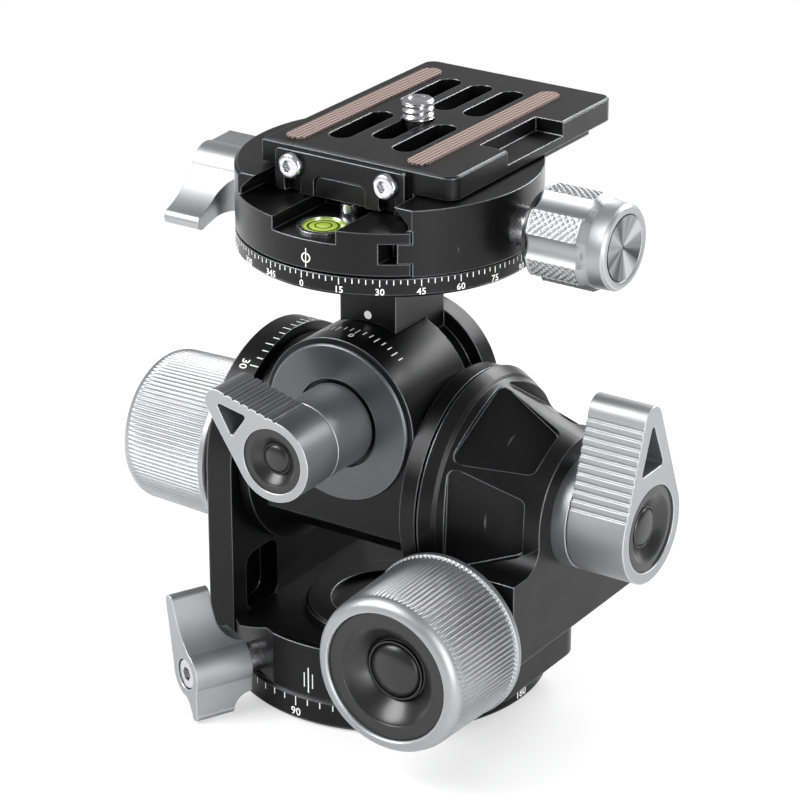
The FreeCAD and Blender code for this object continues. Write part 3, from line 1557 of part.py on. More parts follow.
def make_level():
    """Round bubble level: bright ring and the glass vial inside it."""
    ring = [
        (S.level_floor, S.level_radius - 1.0),
        (S.level_floor, S.level_radius),
        (S.level_notch_floor + 0.5, S.level_radius),
        (S.level_notch_floor + 0.5, S.level_radius - 1.0),
    ]
    keep("level_ring", turned("LevelRing", "z", (ZERO, -S.level_middle), ring))
    vial = [
        (S.level_floor, ZERO),
        (S.level_floor, S.level_radius - 1.0),
        (S.level_notch_floor + 0.1, S.level_radius - 1.0),
        (S.level_notch_floor + 0.4, ZERO),
    ]
    keep("level_vial", turned("LevelVial", "z", (ZERO, -S.level_middle), vial))


def slot_box(name, middle_x, start, end, width, low, high):
    """A slot tool with round ends, along Y."""
    half = width / 2.0
    bar = box(name + "Bar", (middle_x - half, start + half, low), (middle_x + half, end - half, high))
    caps = [
        rod(name + "Cap%d" % i, "z", (middle_x, spot, low), half, high - low)
        for i, spot in enumerate((start + half, end - half))
    ]
    return fuse(name, bar, *caps)


def make_plate():
    """Quick-release plate with its dovetail, six slots, pad seats and side cut-out."""
    blank = box(
        "PlateBlank",
        (-S.plate_left, -S.plate_front, S.plate_bottom),
        (S.plate_right, S.plate_back, S.plate_top),
    )
    left, right = -number(S.plate_left), number(S.plate_right)
    front, back = -number(S.plate_front), number(S.plate_back)
    corners = upright_edge_near((left, back), (right, back), (right, front))
    plate_round = rounded("PlateRound", blank, S.plate_corner, corners)
    top_value = number(S.plate_top)
    plate_bevel = bevelled(
        "PlateBevel",
        plate_round,
        0.4,
        lambda e: near_plane(e, "z", top_value) and e.CenterOfMass.y > front + 1e-3,
    )
    tail = slab("PlateTail", "XZ_Plane", -S.plate_front, S.plate_front + S.plate_back, [
        (S.running_fit * 2.0 - S.channel_half_width, S.tail_bottom),
        (S.running_fit * 2.0 - S.channel_half_width, S.tail_bottom + S.tail_foot),
        (-S.tail_neck, S.clamp_top),
        (-S.tail_neck, S.plate_bottom),
        (S.tail_neck, S.plate_bottom),
        (S.tail_neck, S.clamp_top),
        (S.channel_half_width - S.running_fit * 2.0, S.tail_bottom + S.tail_foot),
        (S.channel_half_width - S.running_fit * 2.0, S.tail_bottom),
    ])
    solid = fuse("PlateSolid", plate_bevel, tail)
    low = S.tail_bottom
    high = S.plate_top
    slots = []
    for column in (-1, 0, 1):
        middle = S.slot_pitch * float(column)
        front_start = S.middle_slot_start if column == 0 else S.front_slot_start
        front_end = S.camera_screw_place + S.camera_screw_radius if column == 0 else S.front_slot_end
        slots.append(slot_box("FrontSlot%d" % (column + 1), middle, front_start, front_end, S.slot_width, low, high))
        slots.append(
            slot_box("RearSlot%d" % (column + 1), middle, S.rear_slot_start, S.rear_slot_end, S.slot_width, low, high)
        )
    screw_room = rod(
        "CameraScrewRoom",
        "z",
        (ZERO, S.camera_screw_place, low),
        S.camera_screw_head + S.running_fit * 2.0,
        S.camera_head_height + S.gap * 2.0,
    )
    screw_hole = rod(
        "CameraScrewHole",
        "z",
        (ZERO, S.camera_screw_place, low),
        S.camera_screw_radius + S.running_fit,
        high - low,
    )
    pads = [
        slot_box(
            "PadSeat%d" % i,
            S.pad_place * side,
            -S.pad_front,
            S.pad_back,
            S.pad_width,
            S.plate_top - S.pad_sink,
            S.plate_top + 1.0,
        )
        for i, side in enumerate((-1.0, 1.0))
    ]
    ledge = box(
        "SideCutout",
        (S.plate_right - S.ledge_depth, S.ledge_front, S.ledge_height),
        (S.plate_right + 1.0, S.ledge_back, S.plate_top + 1.0),
    )
    screw_holes = [
        rod(
            "FlapScrewHole%d" % i,
            "y",
            (S.flap_screw_place * side, -S.plate_front, S.flap_bottom + S.flap_height / 2.0 + 1.2),
            S.flap_screw_radius,
            S.flap_screw_length,
        )
        for i, side in enumerate((-1.0, 1.0))
    ]
    tools = [screw_room, screw_hole, ledge] + slots + pads + screw_holes
    plain = cut("PlateCut", solid, *tools)
    tab = box(
        "FlapTab",
        (S.gap - S.tab_half_width, -S.plate_front - S.flap_thickness * 0.8, S.flap_bottom),
        (S.tab_half_width - S.gap, -S.plate_front + 1.0, S.flap_bottom + S.tab_height - S.gap),
    )
    keep("plate", fuse("Plate", plain, rounded("FlapTabRound", tab, 1.3, top_edge_along_y)))
    pad_solids = [
        slot_box(
            "Pad%d" % i,
            S.pad_place * side,
            -S.pad_front,
            S.pad_back,
            S.pad_width,
            S.plate_top - S.pad_sink,
            S.plate_top + S.pad_rise,
        )
        for i, side in enumerate((-1.0, 1.0))
    ]
    keep("plate_pads", fuse("PlatePads", *pad_solids))


def top_edge_along_y(edge):
    return runs_along(edge, "y") and edge.CenterOfMass.z > number(S.flap_bottom) + 1.0


def make_camera_screw():
    """Quarter-inch screw with a flat head that turns in the plate's underside."""
    low = S.tail_bottom + S.gap
    profile = [
        (low, ZERO),
        (low, S.camera_screw_head),
        (low + S.camera_head_height, S.camera_screw_head),
        (low + S.camera_head_height, S.camera_neck_radius),
        (S.plate_top, S.camera_neck_radius),
        (S.plate_top, S.camera_screw_radius),
        (S.plate_top + S.camera_screw_rise - S.edge, S.camera_screw_radius),
        (S.plate_top + S.camera_screw_rise, S.camera_screw_radius - S.edge),
        (S.plate_top + S.camera_screw_rise, ZERO),
    ]
    keep("camera_screw", turned("CameraScrew", "z", (ZERO, S.camera_screw_place), profile))


def make_flap():
    """Sliding front flap with two upright slots and an arch round the plate's tab, and its screws."""
    back = -S.plate_front - S.running_fit
    front = back - S.flap_thickness
    top = S.flap_bottom + S.flap_height
    blank = box("FlapBlank", (-S.flap_half_width, front, S.flap_bottom), (S.flap_half_width, back, top))
    flap_round = rounded("FlapRound", blank, 1.0, lambda e: runs_along(e, "y"))
    screw_height = S.flap_bottom + S.flap_height / 2.0 + 1.2
    tools = []
    for i, side in enumerate((-1.0, 1.0)):
        x = S.flap_screw_place * side
        half = S.flap_head_radius - 0.7
        low = screw_height - S.flap_travel - 0.2
        tools.append(box("FlapSlot%d" % i, (x - half, front, low), (x + half, back, screw_height)))
        tools.append(rod("FlapSlotLow%d" % i, "y", (x, front, low), half, S.flap_thickness))
        tools.append(rod("FlapSlotHigh%d" % i, "y", (x, front, screw_height), half, S.flap_thickness))
    arch = box(
        "TabArch",
        (-S.tab_half_width, front, S.flap_bottom - 2.0),
        (S.tab_half_width, back, S.flap_bottom + S.tab_height),
    )
    tools.append(rounded("TabArchRound", arch, 1.6, lambda e: runs_along(e, "y")))
    keep("front_flap", cut("FrontFlap", flap_round, *tools))
    screws = []
    for i, side in enumerate((-1.0, 1.0)):
        x = S.flap_screw_place * side
        head = rod(
            "FlapScrewHead%d" % i,
            "y",
            (x, front - S.running_fit - S.flap_head_height, screw_height),
            S.flap_head_radius,
            S.flap_head_height,
        )
        shank = rod(
            "FlapScrewShank%d" % i,
            "y",
            (x, front - S.running_fit - 0.1, screw_height),
            S.flap_screw_radius - S.running_fit,
            S.flap_thickness + S.flap_screw_length,
        )
        socket = rod(
            "FlapScrewSocket%d" % i,
            "y",
            (x, front - S.running_fit - S.flap_head_height, screw_height),
            S.flap_screw_radius - 0.2,
            S.flap_head_height * 0.6,
        )
        screws.append(cut("FlapScrew%d" % i, fuse("FlapScrewSolid%d" % i, head, shank), socket))
    keep("flap_screws", fuse("FlapScrews", *screws))


make_base()
make_frame_plate()
make_left_arm()
make_gear_housing()
make_middle_body()
make_worm_drives()
make_knobs()
make_side_lever()
make_front_lever()
make_top_yoke()
make_clamp_body()
make_stop_pin()
make_jaw()
make_clamp_knob()
make_locks()
make_level()
make_plate()
make_camera_screw()
make_flap()

doc.recompute()
faults = []
for thing in doc.Objects:
    if "Invalid" in thing.State or "Error" in thing.State:
        faults.append(thing.Name)
for piece in pieces:
    if piece.Shape.isNull() or not piece.Shape.isValid():
        faults.append(piece.Label)
if faults:
    raise RuntimeError("these did not build: " + ", ".join(faults))
for piece in pieces:
    piece.Shape.exportStep("parts/%s.step" % piece.Label)
    print(piece.Label, len(piece.Shape.Solids), round(piece.Shape.Volume, 1))
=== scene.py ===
# %% [markdown]
# # Geared tripod head
# A geared head holds a camera still while two worm drives tip it by fractions of a degree.
# The CAD model already has every solid in its real place, so this file dresses it: it gives each
# part its finish, and adds the fine work that is too small for the solids, such as knurling,
# engraved scales and printed numbers. Lengths are written in millimetres and turned to metres once.

# %% Load the frame
import json
import math
import bmesh
import numpy as np
import bpy
from mathutils import Matrix, Vector


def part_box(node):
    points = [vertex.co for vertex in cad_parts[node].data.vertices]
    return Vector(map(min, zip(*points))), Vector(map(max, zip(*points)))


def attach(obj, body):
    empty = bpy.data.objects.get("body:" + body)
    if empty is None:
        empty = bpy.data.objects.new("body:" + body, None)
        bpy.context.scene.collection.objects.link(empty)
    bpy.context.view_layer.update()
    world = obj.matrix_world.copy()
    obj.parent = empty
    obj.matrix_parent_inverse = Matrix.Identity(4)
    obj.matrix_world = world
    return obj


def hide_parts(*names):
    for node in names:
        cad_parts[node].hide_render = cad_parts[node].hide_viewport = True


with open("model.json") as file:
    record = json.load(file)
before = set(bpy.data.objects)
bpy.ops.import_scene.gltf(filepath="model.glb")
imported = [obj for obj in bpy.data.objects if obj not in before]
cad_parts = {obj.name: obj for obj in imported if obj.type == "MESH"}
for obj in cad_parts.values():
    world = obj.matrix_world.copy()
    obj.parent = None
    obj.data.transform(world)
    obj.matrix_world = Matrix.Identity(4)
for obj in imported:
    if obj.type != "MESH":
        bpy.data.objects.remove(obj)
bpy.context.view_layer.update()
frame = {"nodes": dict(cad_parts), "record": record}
nodes = frame["nodes"]
print("parts in the frame:", len(nodes))

# %% [markdown]
# ## Measures
# The same few lengths place every added detail, so they are named once here. The tilt axis runs
# left to right, the roll axis front to back, and both pan axes stand on the origin. A scale needs
# one more number, the angle in degrees at which its zero stands on its round.

# %% Measures in millimetres
MM = 0.001
TILT_Z = 45.0
ROLL_Z = 59.5
BASE_R = 32.2
PAN_R = 30.0
FRONT_KNOB = (30.0, 25.0)
LEFT_KNOB = (0.0, 39.5)
CLAMP_KNOB_Z = 100.8
YOKE_DOT_Z = 78.4
ARM_R = 23.5
BARREL_R = 17.3
FRAME_INDEX_R = 32.0
BASE_ZERO = -182.0
PAN_ZERO = -90.0
TILT_ZERO = 95.0
ROLL_ZERO = 3.0
INDEX_ANGLE = -88.0
print("tilt axis", TILT_Z, "roll axis", ROLL_Z)

# %% [markdown]
# ## Camera
# A product photographer stands well back with a long lens, so that round parts stay round. The
# camera looks from the front right and a little above. Its direction is built from two angles,
# which is easier to adjust than a rotation matrix, and its three axes are set as columns.

# %% Camera
AZIMUTH, ELEVATION, DISTANCE = 33.4, 23.4, 660.0
around, above = math.radians(AZIMUTH), math.radians(ELEVATION)
right = Vector((math.cos(around), math.sin(around), 0.0))
back = Vector((math.sin(around) * math.cos(above), -math.cos(around) * math.cos(above), math.sin(above)))
target = (right * 2.0 + Vector((0, 0, 57.6))) * MM
camera = bpy.data.objects.new("camera", bpy.data.cameras.new("camera"))
bpy.context.scene.collection.objects.link(camera)
axes = Matrix((right, back.cross(right), back)).transposed().to_4x4()
camera.matrix_world = Matrix.Translation(target + back * DISTANCE * MM) @ axes
camera.data.lens = 149.4
camera.data.sensor_width = 36.0
camera.data.clip_start, camera.data.clip_end = 0.05, 50.0
bpy.context.scene.camera = camera
print("camera at", [round(c, 3) for c in camera.location])

# %% [markdown]
# ## Colours and material nodes
# Colours are easiest to read as the hex values a picture editor shows, but a renderer works with
# linear light. One function converts them. Another adds any shader node with its settings and
# links, so a material reads as a short list of steps, and two more take up the steps that most
# materials share: the mix of two colours, and the shader at the end.


# %% Colour and node helpers
def light_value(hex_colour):
    """Linear colour of an sRGB hex value: low values are divided, the rest follow a power of 2.4."""
    parts = [int(hex_colour[i : i + 2], 16) / 255.0 for i in (1, 3, 5)]
    return tuple(p / 12.92 if p <= 0.04045 else ((p + 0.055) / 1.055) ** 2.4 for p in parts) + (1.0,)


def add(tree, kind, inputs=None, **settings):
    """Adds a node, applies its settings, and sets or links each named input."""
    made = tree.nodes.new(kind)
    for key, value in settings.items():
        setattr(made, key, value)
    for key, value in (inputs or {}).items():
        if isinstance(value, bpy.types.NodeSocket):
            tree.links.new(value, made.inputs[key])
        else:
            made.inputs[key].default_value = value
    return made


def new_material(name):
    """An empty material with its output node."""
    material = bpy.data.materials.new(name)
    material.use_nodes = True
    material.node_tree.nodes.clear()
    output = material.node_tree.nodes.new("ShaderNodeOutputMaterial")
    return material, material.node_tree, output


def two_tone(tree, share, low, high):
    """A mix of two hex colours: a share of 0 gives the first, a share of 1 the second."""
    blend = add(tree, "ShaderNodeMix", {
        "Factor": share,
        "A": light_value(low),
        "B": light_value(high),
    }, data_type="RGBA")
    return blend.outputs["Result"]


def finished(material, output, inputs):
    """Ends a material with a Principled shader that has these inputs."""
    shader = add(material.node_tree, "ShaderNodeBsdfPrincipled", inputs)
    material.node_tree.links.new(shader.outputs[0], output.inputs["Surface"])
    return material


print("black anodise in linear light:", [round(v, 4) for v in light_value("#1b1b1c")])

# %% [markdown]
# ## Bead-blasted and anodised metal
# Most parts are aluminium that was blasted with fine glass beads and then anodised. Blasting leaves
# dents about a fifth of a millimetre across, which blur reflections into a soft sheen, and the
# anodic layer is a little uneven over about a centimetre. Fine noise drives the bump and broad
# noise the roughness. Corners catch the light, so they get a painted highlight: a bevel test finds
# them, and where the rounded normal turns away from the true one, the paler edge colour takes over.


# %% Blasted metal
def blasted_metal(name, colour, edge_highlight_colour, metallic, roughness, grain_mm, bump, edge_mm=0.35):
    """Metal with fine random dents: fine noise tilts the surface, broad noise moves the roughness, and
    corners get a painted highlight.
    """
    material, tree, output = new_material(name)
    place = add(tree, "ShaderNodeTexCoord").outputs["Object"]
    grain = add(tree, "ShaderNodeTexNoise", {"Vector": place, "Scale": 1.0 / (grain_mm * MM), "Detail": 2.0})
    cloud = add(tree, "ShaderNodeTexNoise", {"Vector": place, "Scale": 1.0 / (9.0 * MM), "Detail": 3.0})
    spread = add(tree, "ShaderNodeMapRange", {
        "Value": cloud.outputs["Fac"],
        "From Min": 0.3,
        "From Max": 0.7,
        "To Min": roughness - 0.04,
        "To Max": roughness + 0.05,
    })
    bevel = add(tree, "ShaderNodeBevel", {"Radius": edge_mm * MM}, samples=6)
    shape = add(tree, "ShaderNodeNewGeometry")
    turn = add(tree, "ShaderNodeVectorMath", {
        0: bevel.outputs[0],
        1: shape.outputs["Normal"],
    }, operation="DOT_PRODUCT")
    edge = add(tree, "ShaderNodeMapRange", {
        "Value": turn.outputs["Value"],
        "From Min": 0.985,
        "From Max": 0.93,
        "To Min": 0.0,
        "To Max": 1.0,
    })
    # The paler edge colour is a painted highlight on the corners.
    blend = two_tone(tree, edge.outputs[0], colour, edge_highlight_colour)
    tilt = add(tree, "ShaderNodeBump", {
        "Height": grain.outputs["Fac"],
        "Strength": bump,
        "Distance": 0.03 * MM,
        "Normal": bevel.outputs[0],
    })
    return finished(material, output, {
        "Base Color": blend,
        "Metallic": metallic,
        "Roughness": spread.outputs[0],
        "Normal": tilt.outputs[0],
    })


# The second colour given to each blasted metal is the painted highlight on its corners.
# Black hard anodising on blasted aluminium: nearly black, with a broad dim sheen.
black_anodised = blasted_metal("black_anodised_aluminium", "#1b1b1c", "#77787a", 0.75, 0.35, 0.18, 0.3)
# Clear anodising on blasted aluminium: pale grey, even, no sharp reflections.
silver_blasted = blasted_metal("clear_anodised_aluminium", "#9a9b9d", "#cfd0d2", 0.92, 0.44, 0.2, 0.45)
# The cover ring on the front barrel is black, and its front face throws a grey reflection: that is a painted
# sheen, a dark grey base colour in place of the black.
painted_sheen_grey = blasted_metal("painted_sheen_grey_aluminium", "#55575a", "#9a9ca0", 0.9, 0.34, 0.15, 0.2)
print("blasted metals ready")

# %% [markdown]
# ## Turned steel, bronze, lacquer, rubber and glass
# Screws and stems are turned on a lathe, which leaves their gloss a little uneven. Rubber
# is moulded with crossing ribs, the knob inserts are lacquered plates, and the level is a clear
# cap over a tinted liquid.


# %% Other finishes
def turned_metal(name, colour, roughness):
    """Lathe-turned metal: noise a quarter of a millimetre across moves the gloss."""
    material, tree, output = new_material(name)
    place = add(tree, "ShaderNodeTexCoord").outputs["Object"]
    rings = add(tree, "ShaderNodeTexNoise", {"Vector": place, "Scale": 1.0 / (0.25 * MM), "Detail": 1.0})
    gloss = add(tree, "ShaderNodeMapRange", {
        "Value": rings.outputs["Fac"],
        "From Min": 0.35,
        "From Max": 0.65,
        "To Min": roughness - 0.05,
        "To Max": roughness + 0.06,
    })
    bevel = add(tree, "ShaderNodeBevel", {"Radius": 0.2 * MM}, samples=4)
    return finished(material, output, {
        "Base Color": light_value(colour),
        "Metallic": 1.0,
        "Roughness": gloss.outputs[0],
        "Normal": bevel.outputs[0],
    })


def coated(name, colour, roughness, grain_mm, bump, coat=0.0):
    """A non-metal skin: noise at the grain's size mixes two close colours and raises a small bump."""
    material, tree, output = new_material(name)
    place = add(tree, "ShaderNodeTexCoord").outputs["Object"]
    grain = add(tree, "ShaderNodeTexNoise", {"Vector": place, "Scale": 1.0 / (grain_mm * MM), "Detail": 3.0})
    shade = two_tone(tree, grain.outputs["Fac"], *colour)
    tilt = add(tree, "ShaderNodeBump", {
        "Height": grain.outputs["Fac"],
        "Strength": bump,
        "Distance": 0.08 * MM,
    })
    return finished(material, output, {
        "Base Color": shade,
        "Roughness": roughness,
        "Coat Weight": coat,
        "Coat Roughness": 0.18,
        "Normal": tilt.outputs[0],
    })


def lattice_rubber(name, groove_shade_colour, ridge_highlight_colour, pitch_mm):
    """Rubber moulded with crossing ribs: height is the sine of x + y times the sine of x - y. The colour
    follows the height too: painted shade darkens the grooves and a painted highlight lightens the rib tops.
    """
    material, tree, output = new_material(name)
    place = add(tree, "ShaderNodeTexCoord").outputs["Object"]
    split = add(tree, "ShaderNodeSeparateXYZ", {0: place})
    waves = []
    for operation in ("ADD", "SUBTRACT"):
        slant = add(tree, "ShaderNodeMath", {
            0: split.outputs["X"],
            1: split.outputs["Y"],
        }, operation=operation)
        angle = add(tree, "ShaderNodeMath", {
            0: slant.outputs[0],
            1: 2.0 * math.pi / (pitch_mm * math.sqrt(2.0) * MM),
        }, operation="MULTIPLY")
        waves.append(add(tree, "ShaderNodeMath", {0: angle.outputs[0]}, operation="SINE"))
    height = add(tree, "ShaderNodeMath", {
        0: waves[0].outputs[0],
        1: waves[1].outputs[0],
    }, operation="MULTIPLY")
    share = add(tree, "ShaderNodeMapRange", {
        "Value": height.outputs[0],
        "From Min": -0.6,
        "From Max": 0.7,
    })
    # Painted shade in the grooves, painted highlight on the rib tops.
    shade = two_tone(tree, share.outputs[0], groove_shade_colour, ridge_highlight_colour)
    tilt = add(tree, "ShaderNodeBump", {
        "Height": share.outputs[0],
        "Strength": 0.6,
        "Distance": 0.15 * MM,
    })
    return finished(material, output, {
        "Base Color": shade,
        "Roughness": 0.7,
        "Normal": tilt.outputs[0],
    })


def brushed_face(name, dark, light, height_mm):
    """Faced metal end: streaks run out from its middle, so noise is read from the direction alone. The
    streaks follow the real brushing, and their pale parts are painted highlights on the dark grey metal.
    """
    material, tree, output = new_material(name)
    place = add(tree, "ShaderNodeTexCoord").outputs["Object"]
    offset = add(tree, "ShaderNodeVectorMath", {
        0: place,
        1: (0.0, 0.0, height_mm * MM),
    }, operation="SUBTRACT")
    flat = add(tree, "ShaderNodeVectorMath", {
        0: offset.outputs[0],
        1: (0.0, 1.0, 1.0),
    }, operation="MULTIPLY")
    way = add(tree, "ShaderNodeVectorMath", {0: flat.outputs[0]}, operation="NORMALIZE")
    streak = add(tree, "ShaderNodeTexNoise", {"Vector": way.outputs[0], "Scale": 1.1, "Detail": 5.0})
    tone = add(tree, "ShaderNodeMapRange", {
        "Value": streak.outputs["Fac"],
        "From Min": 0.38,
        "From Max": 0.62,
    })
    shade = two_tone(tree, tone.outputs[0], dark, light)
    return finished(material, output, {"Base Color": shade, "Metallic": 1.0, "Roughness": 0.3})


bright_steel = turned_metal("turned_steel", "#c2c2c5", 0.24)
machined_bronze = turned_metal("machined_bronze", "#a98a4a", 0.35)
gloss_lacquer = coated("glossy_black_lacquer", ("#070708", "#0c0c0d"), 0.33, 6.0, 0.02, 0.1)
# The brown pads: the dark colour is painted shade in the grooves, the pale one a painted highlight on the
# ribs.
pad_rubber = lattice_rubber("brown_moulded_rubber", "#33241f", "#a08a80", 1.25)
# The clamp knob's end disc: dark grey brushed metal with painted highlight streaks.
brushed_disc_painted_sheen = brushed_face("brushed_disc_painted_sheen", "#303134", "#a5a6a9", CLAMP_KNOB_Z)
level_liquid = coated("tinted_level_liquid", ("#b4d04a", "#c6dd66"), 0.08, 5.0, 0.0, 1.0)
level_line = coated("dark_green_level_line", ("#20300c", "#2a3a12"), 0.4, 2.0, 0.0)
level_bubble = coated("pale_level_bubble", ("#dbe98c", "#e6f0a8"), 0.1, 2.0, 0.0, 1.0)
white_print = coated("white_printing_ink", ("#e4e4e2", "#efefed"), 0.55, 0.5, 0.1)
print("finishes ready:", len(bpy.data.materials))

# %% Finish of each CAD part
FINISHES = {
    "black_aluminium": black_anodised,
    "satin_aluminium": silver_blasted,
    "gloss_black": gloss_lacquer,
    "bright_steel": bright_steel,
    "bronze": machined_bronze,
    "brown_rubber": pad_rubber,
    "level_glass": level_liquid,
}
for part in frame["record"]["subparts"]:
    mesh = nodes[part["node"]].data
    mesh.materials.clear()
    mesh.materials.append(FINISHES[part["material_slot"]])
# The front ring's grey material is a painted sheen standing in for the reflection on a black ring.
for node, material in (("clamp_knob_disc", brushed_disc_painted_sheen), ("front_ring", painted_sheen_grey)):
    nodes[node].data.materials.clear()
    nodes[node].data.materials.append(material)

# %% [markdown]
# ## Surfaces from arrays
# Knurling, threads and scallops are easiest to describe as a radius that depends on two things:
# the place along an axis and the angle around it. Numpy works out every point at once, and the
# mesh receives them as flat arrays. The first and last rings shrink to a single point each, so
# that the surface is closed. A printed or flat ring has no such point: its four rows of points
# join each other round its section.

# %% Surface helpers
SMOOTH_BELOW = math.radians(35)
TO_AXIS = {
    "x": np.array([[0, 0, 1], [1, 0, 0], [0, 1, 0]], float),
    "y": np.array([[0, 1, 0], [0, 0, 1], [1, 0, 0]], float),
    "z": np.eye(3),
}


def on_axis(local, axis, centre):
    """Turns points made round +Z to stand round the chosen axis, at the two other coordinates."""
    offset = {"x": (0, *centre), "y": (centre[0], 0, centre[1]), "z": (*centre, 0)}[axis]
    return local @ TO_AXIS[axis].T + np.array(offset, float)


def mesh_piece(name, points_mm, corners, starts, material, body, replaced=()):
    """Fills a mesh from flat arrays, turns its faces outwards, and lets it ride on a body."""
    mesh = bpy.data.meshes.new(name)
    mesh.vertices.add(len(points_mm))
    mesh.vertices.foreach_set("co", (np.asarray(points_mm) * MM).astype(np.float32).ravel())
    mesh.loops.add(len(corners))
    mesh.loops.foreach_set("vertex_index", np.asarray(corners, np.int32))
    mesh.polygons.add(len(starts))
    mesh.polygons.foreach_set("loop_start", np.asarray(starts, np.int32))
    mesh.update(calc_edges=True)
    mesh.validate()
    mesh.materials.append(material)
    outward(mesh)
    piece = bpy.data.objects.new(name, mesh)
    bpy.context.scene.collection.objects.link(piece)
    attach(piece, body)
    if replaced:
        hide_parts(*replaced)
    return piece


def outward(mesh):
    """Makes every face of a closed mesh point outwards, and shades it smooth below 35 degrees."""
    work = bmesh.new()
    work.from_mesh(mesh)
    bmesh.ops.recalc_face_normals(work, faces=work.faces[:])
    for face in work.faces:
        face.smooth = True
    for edge in work.edges:
        edge.smooth = edge.is_manifold and edge.calc_face_angle(0.0) < SMOOTH_BELOW
    work.to_mesh(mesh)
    work.free()


def dense(profile, longest):
    """The same profile with more points, so that no stretch of it is longer than a given length."""
    points = np.array(profile, float)
    parts = np.maximum(1, np.ceil(np.linalg.norm(np.diff(points, axis=0), axis=1) / longest)).astype(int)
    first = np.repeat(np.arange(len(parts)), parts)
    share = (np.arange(parts.sum()) - np.repeat(np.cumsum(parts) - parts, parts)) / np.repeat(parts, parts)
    inner = points[first] + share[:, None] * (points[first + 1] - points[first])
    return np.vstack([inner, points[-1:]])


def revolved(name, axis, centre, profile, steps, relief, material, body, replaced=()):
    """A turned surface: radius at (along, angle) is the profile's radius minus relief(along, angle)."""
    along, radius = np.array(profile, float).T
    angle = np.linspace(0.0, 2.0 * math.pi, steps, endpoint=False)
    rows = along[1:-1, None]
    reach = radius[1:-1, None] - relief(rows, angle[None, :])
    rings = np.stack([reach * np.cos(angle), reach * np.sin(angle), rows + 0.0 * reach], -1)
    points = np.concatenate([[[0, 0, along[0]], [0, 0, along[-1]]], rings.reshape(-1, 3)])
    near = np.arange(steps)
    far = (near + 1) % steps
    first = 2 + np.arange(len(rows) - 1)[:, None] * steps
    quads = np.stack([first + near, first + far, first + steps + far, first + steps + near], -1)
    last = 2 + (len(rows) - 1) * steps
    caps = np.stack([
        np.stack([0 * near, 2 + far, 2 + near], -1),
        np.stack([0 * near + 1, last + near, last + far], -1),
    ])
    corners = np.concatenate([quads.ravel(), caps.ravel()])
    starts = np.concatenate([np.arange(quads.size // 4) * 4, quads.size + np.arange(caps.size // 3) * 3])
    return mesh_piece(name, on_axis(points, axis, centre), corners, starts, material, body, replaced)


def smooth_round(along, angle):
    """No relief at all: the surface is simply round."""
    return 0.0 * along * angle


def ring_faces(count):
    """Corners and face starts of a ring with four rows of points, each row joined to the next one."""
    near = np.arange(count)
    far = (near + 1) % count
    row = np.arange(4)[:, None] * count
    next_row = (row + count) % (4 * count)
    quads = np.stack([row + near, row + far, next_row + far, next_row + near], -1)
    return quads.ravel(), np.arange(4 * count) * 4


def node_mm(node):
    """Low and high corners of a CAD node in millimetres."""
    low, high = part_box(node)
    return np.array(low) / MM, np.array(high) / MM


print("surface helpers ready")

# %% [markdown]
# ## Geared knobs
# The big knobs are cut with a straight knurl: about a hundred fine ridges, one millimetre apart,
# that run from the back rim to the shoulder. Each ridge is one half of a sine wave in the angle,
# and the wave fades out towards both ends, the way a knurling wheel leaves the metal.


# %% Straight-knurled knobs
def straight_knurl(start, end, count, depth):
    """Relief of ridges: depth times one minus the size of a half-wave, faded at both ends."""

    def relief(along, angle):
        fade = np.clip((along - start) / 0.5, 0, 1) * np.clip((end - along) / 0.3, 0, 1)
        return depth * (1.0 - np.abs(np.sin(angle * count / 2.0))) * fade

    return relief


def geared_knob(name, axis, centre, back, body, node):
    """Knob from its back rim to its nose, bored out for the black dish."""
    along = [0, 0, 0.4, 1.5, 1.8, 19.6, 20.0, 20.7, 21.5, 22.0, 22.0, 21.7, 16.9, 16.9]
    radius = [0, 16.4, 16.8, 16.8, 16.5, 15.95, 15.8, 15.6, 15.0, 14.2, 13.3, 13.05, 13.05, 0]
    profile = dense(np.stack([-back - np.array(along), radius], -1), 1.2)
    relief = straight_knurl(-back - 19.9, -back - 1.6, RIDGES, RIDGE_DEPTH)
    return revolved(
        name, axis, centre, profile, RIDGES * POINTS_PER_RIDGE, relief,
        silver_blasted, body, (node,),
    )


RIDGES, POINTS_PER_RIDGE, RIDGE_DEPTH = 104, 8, 0.6
front_back = -node_mm("front_knob")[1][1]
left_back = -node_mm("left_knob")[1][0]
front_shell = geared_knob("front_knob_shell", "y", FRONT_KNOB, front_back, "front_knob", "front_knob")
left_shell = geared_knob("left_knob_shell", "x", LEFT_KNOB, left_back, "left_knob", "left_knob")
print("knob faces:", len(front_shell.data.polygons), len(left_shell.data.polygons))

# %% [markdown]
# ## Dished inserts
# Each knob and lever carries a black insert: a flat lip, a hollow that shines like lacquer, and a
# domed button inside a small raised rim. The hollow's depth grows as a power of the way in, so it
# leaves the lip without a crease and the highlight in it is a clean crescent. Its points stand
# closer at both ends, where a cosine puts them.


# %% Dished inserts
def dished_insert(node, axis, centre, floor, lip, radius, body):
    """Insert from floor to lip: a flat lip in to 0.79 R, a hollow in to 0.48 R, a rim and a dome."""
    depth = lip - floor
    wave = 0.5 + 0.5 * np.cos(np.linspace(0.0, math.pi, 16))
    dome = np.linspace(0.0, math.pi / 2.0, 8)
    height = np.concatenate([
        [0.0, 0.0, 0.96, 1.0, 1.0],
        0.18 + 0.80 * wave,
        [0.2, 0.34, 0.34],
        0.26 + 0.42 * np.sin(dome),
    ])
    reach = np.concatenate([
        [0.0, 1.0, 1.0, 0.985, 0.79],
        0.785 - 0.305 * (1.0 - wave) ** 0.8,
        [0.465, 0.46, 0.435],
        0.425 * np.cos(dome),
    ])
    profile = np.stack([floor + depth * height, radius * reach], -1)
    return revolved(
        node + "_dish", axis, centre, profile, 144, smooth_round,
        gloss_lacquer, body, (node,),
    )


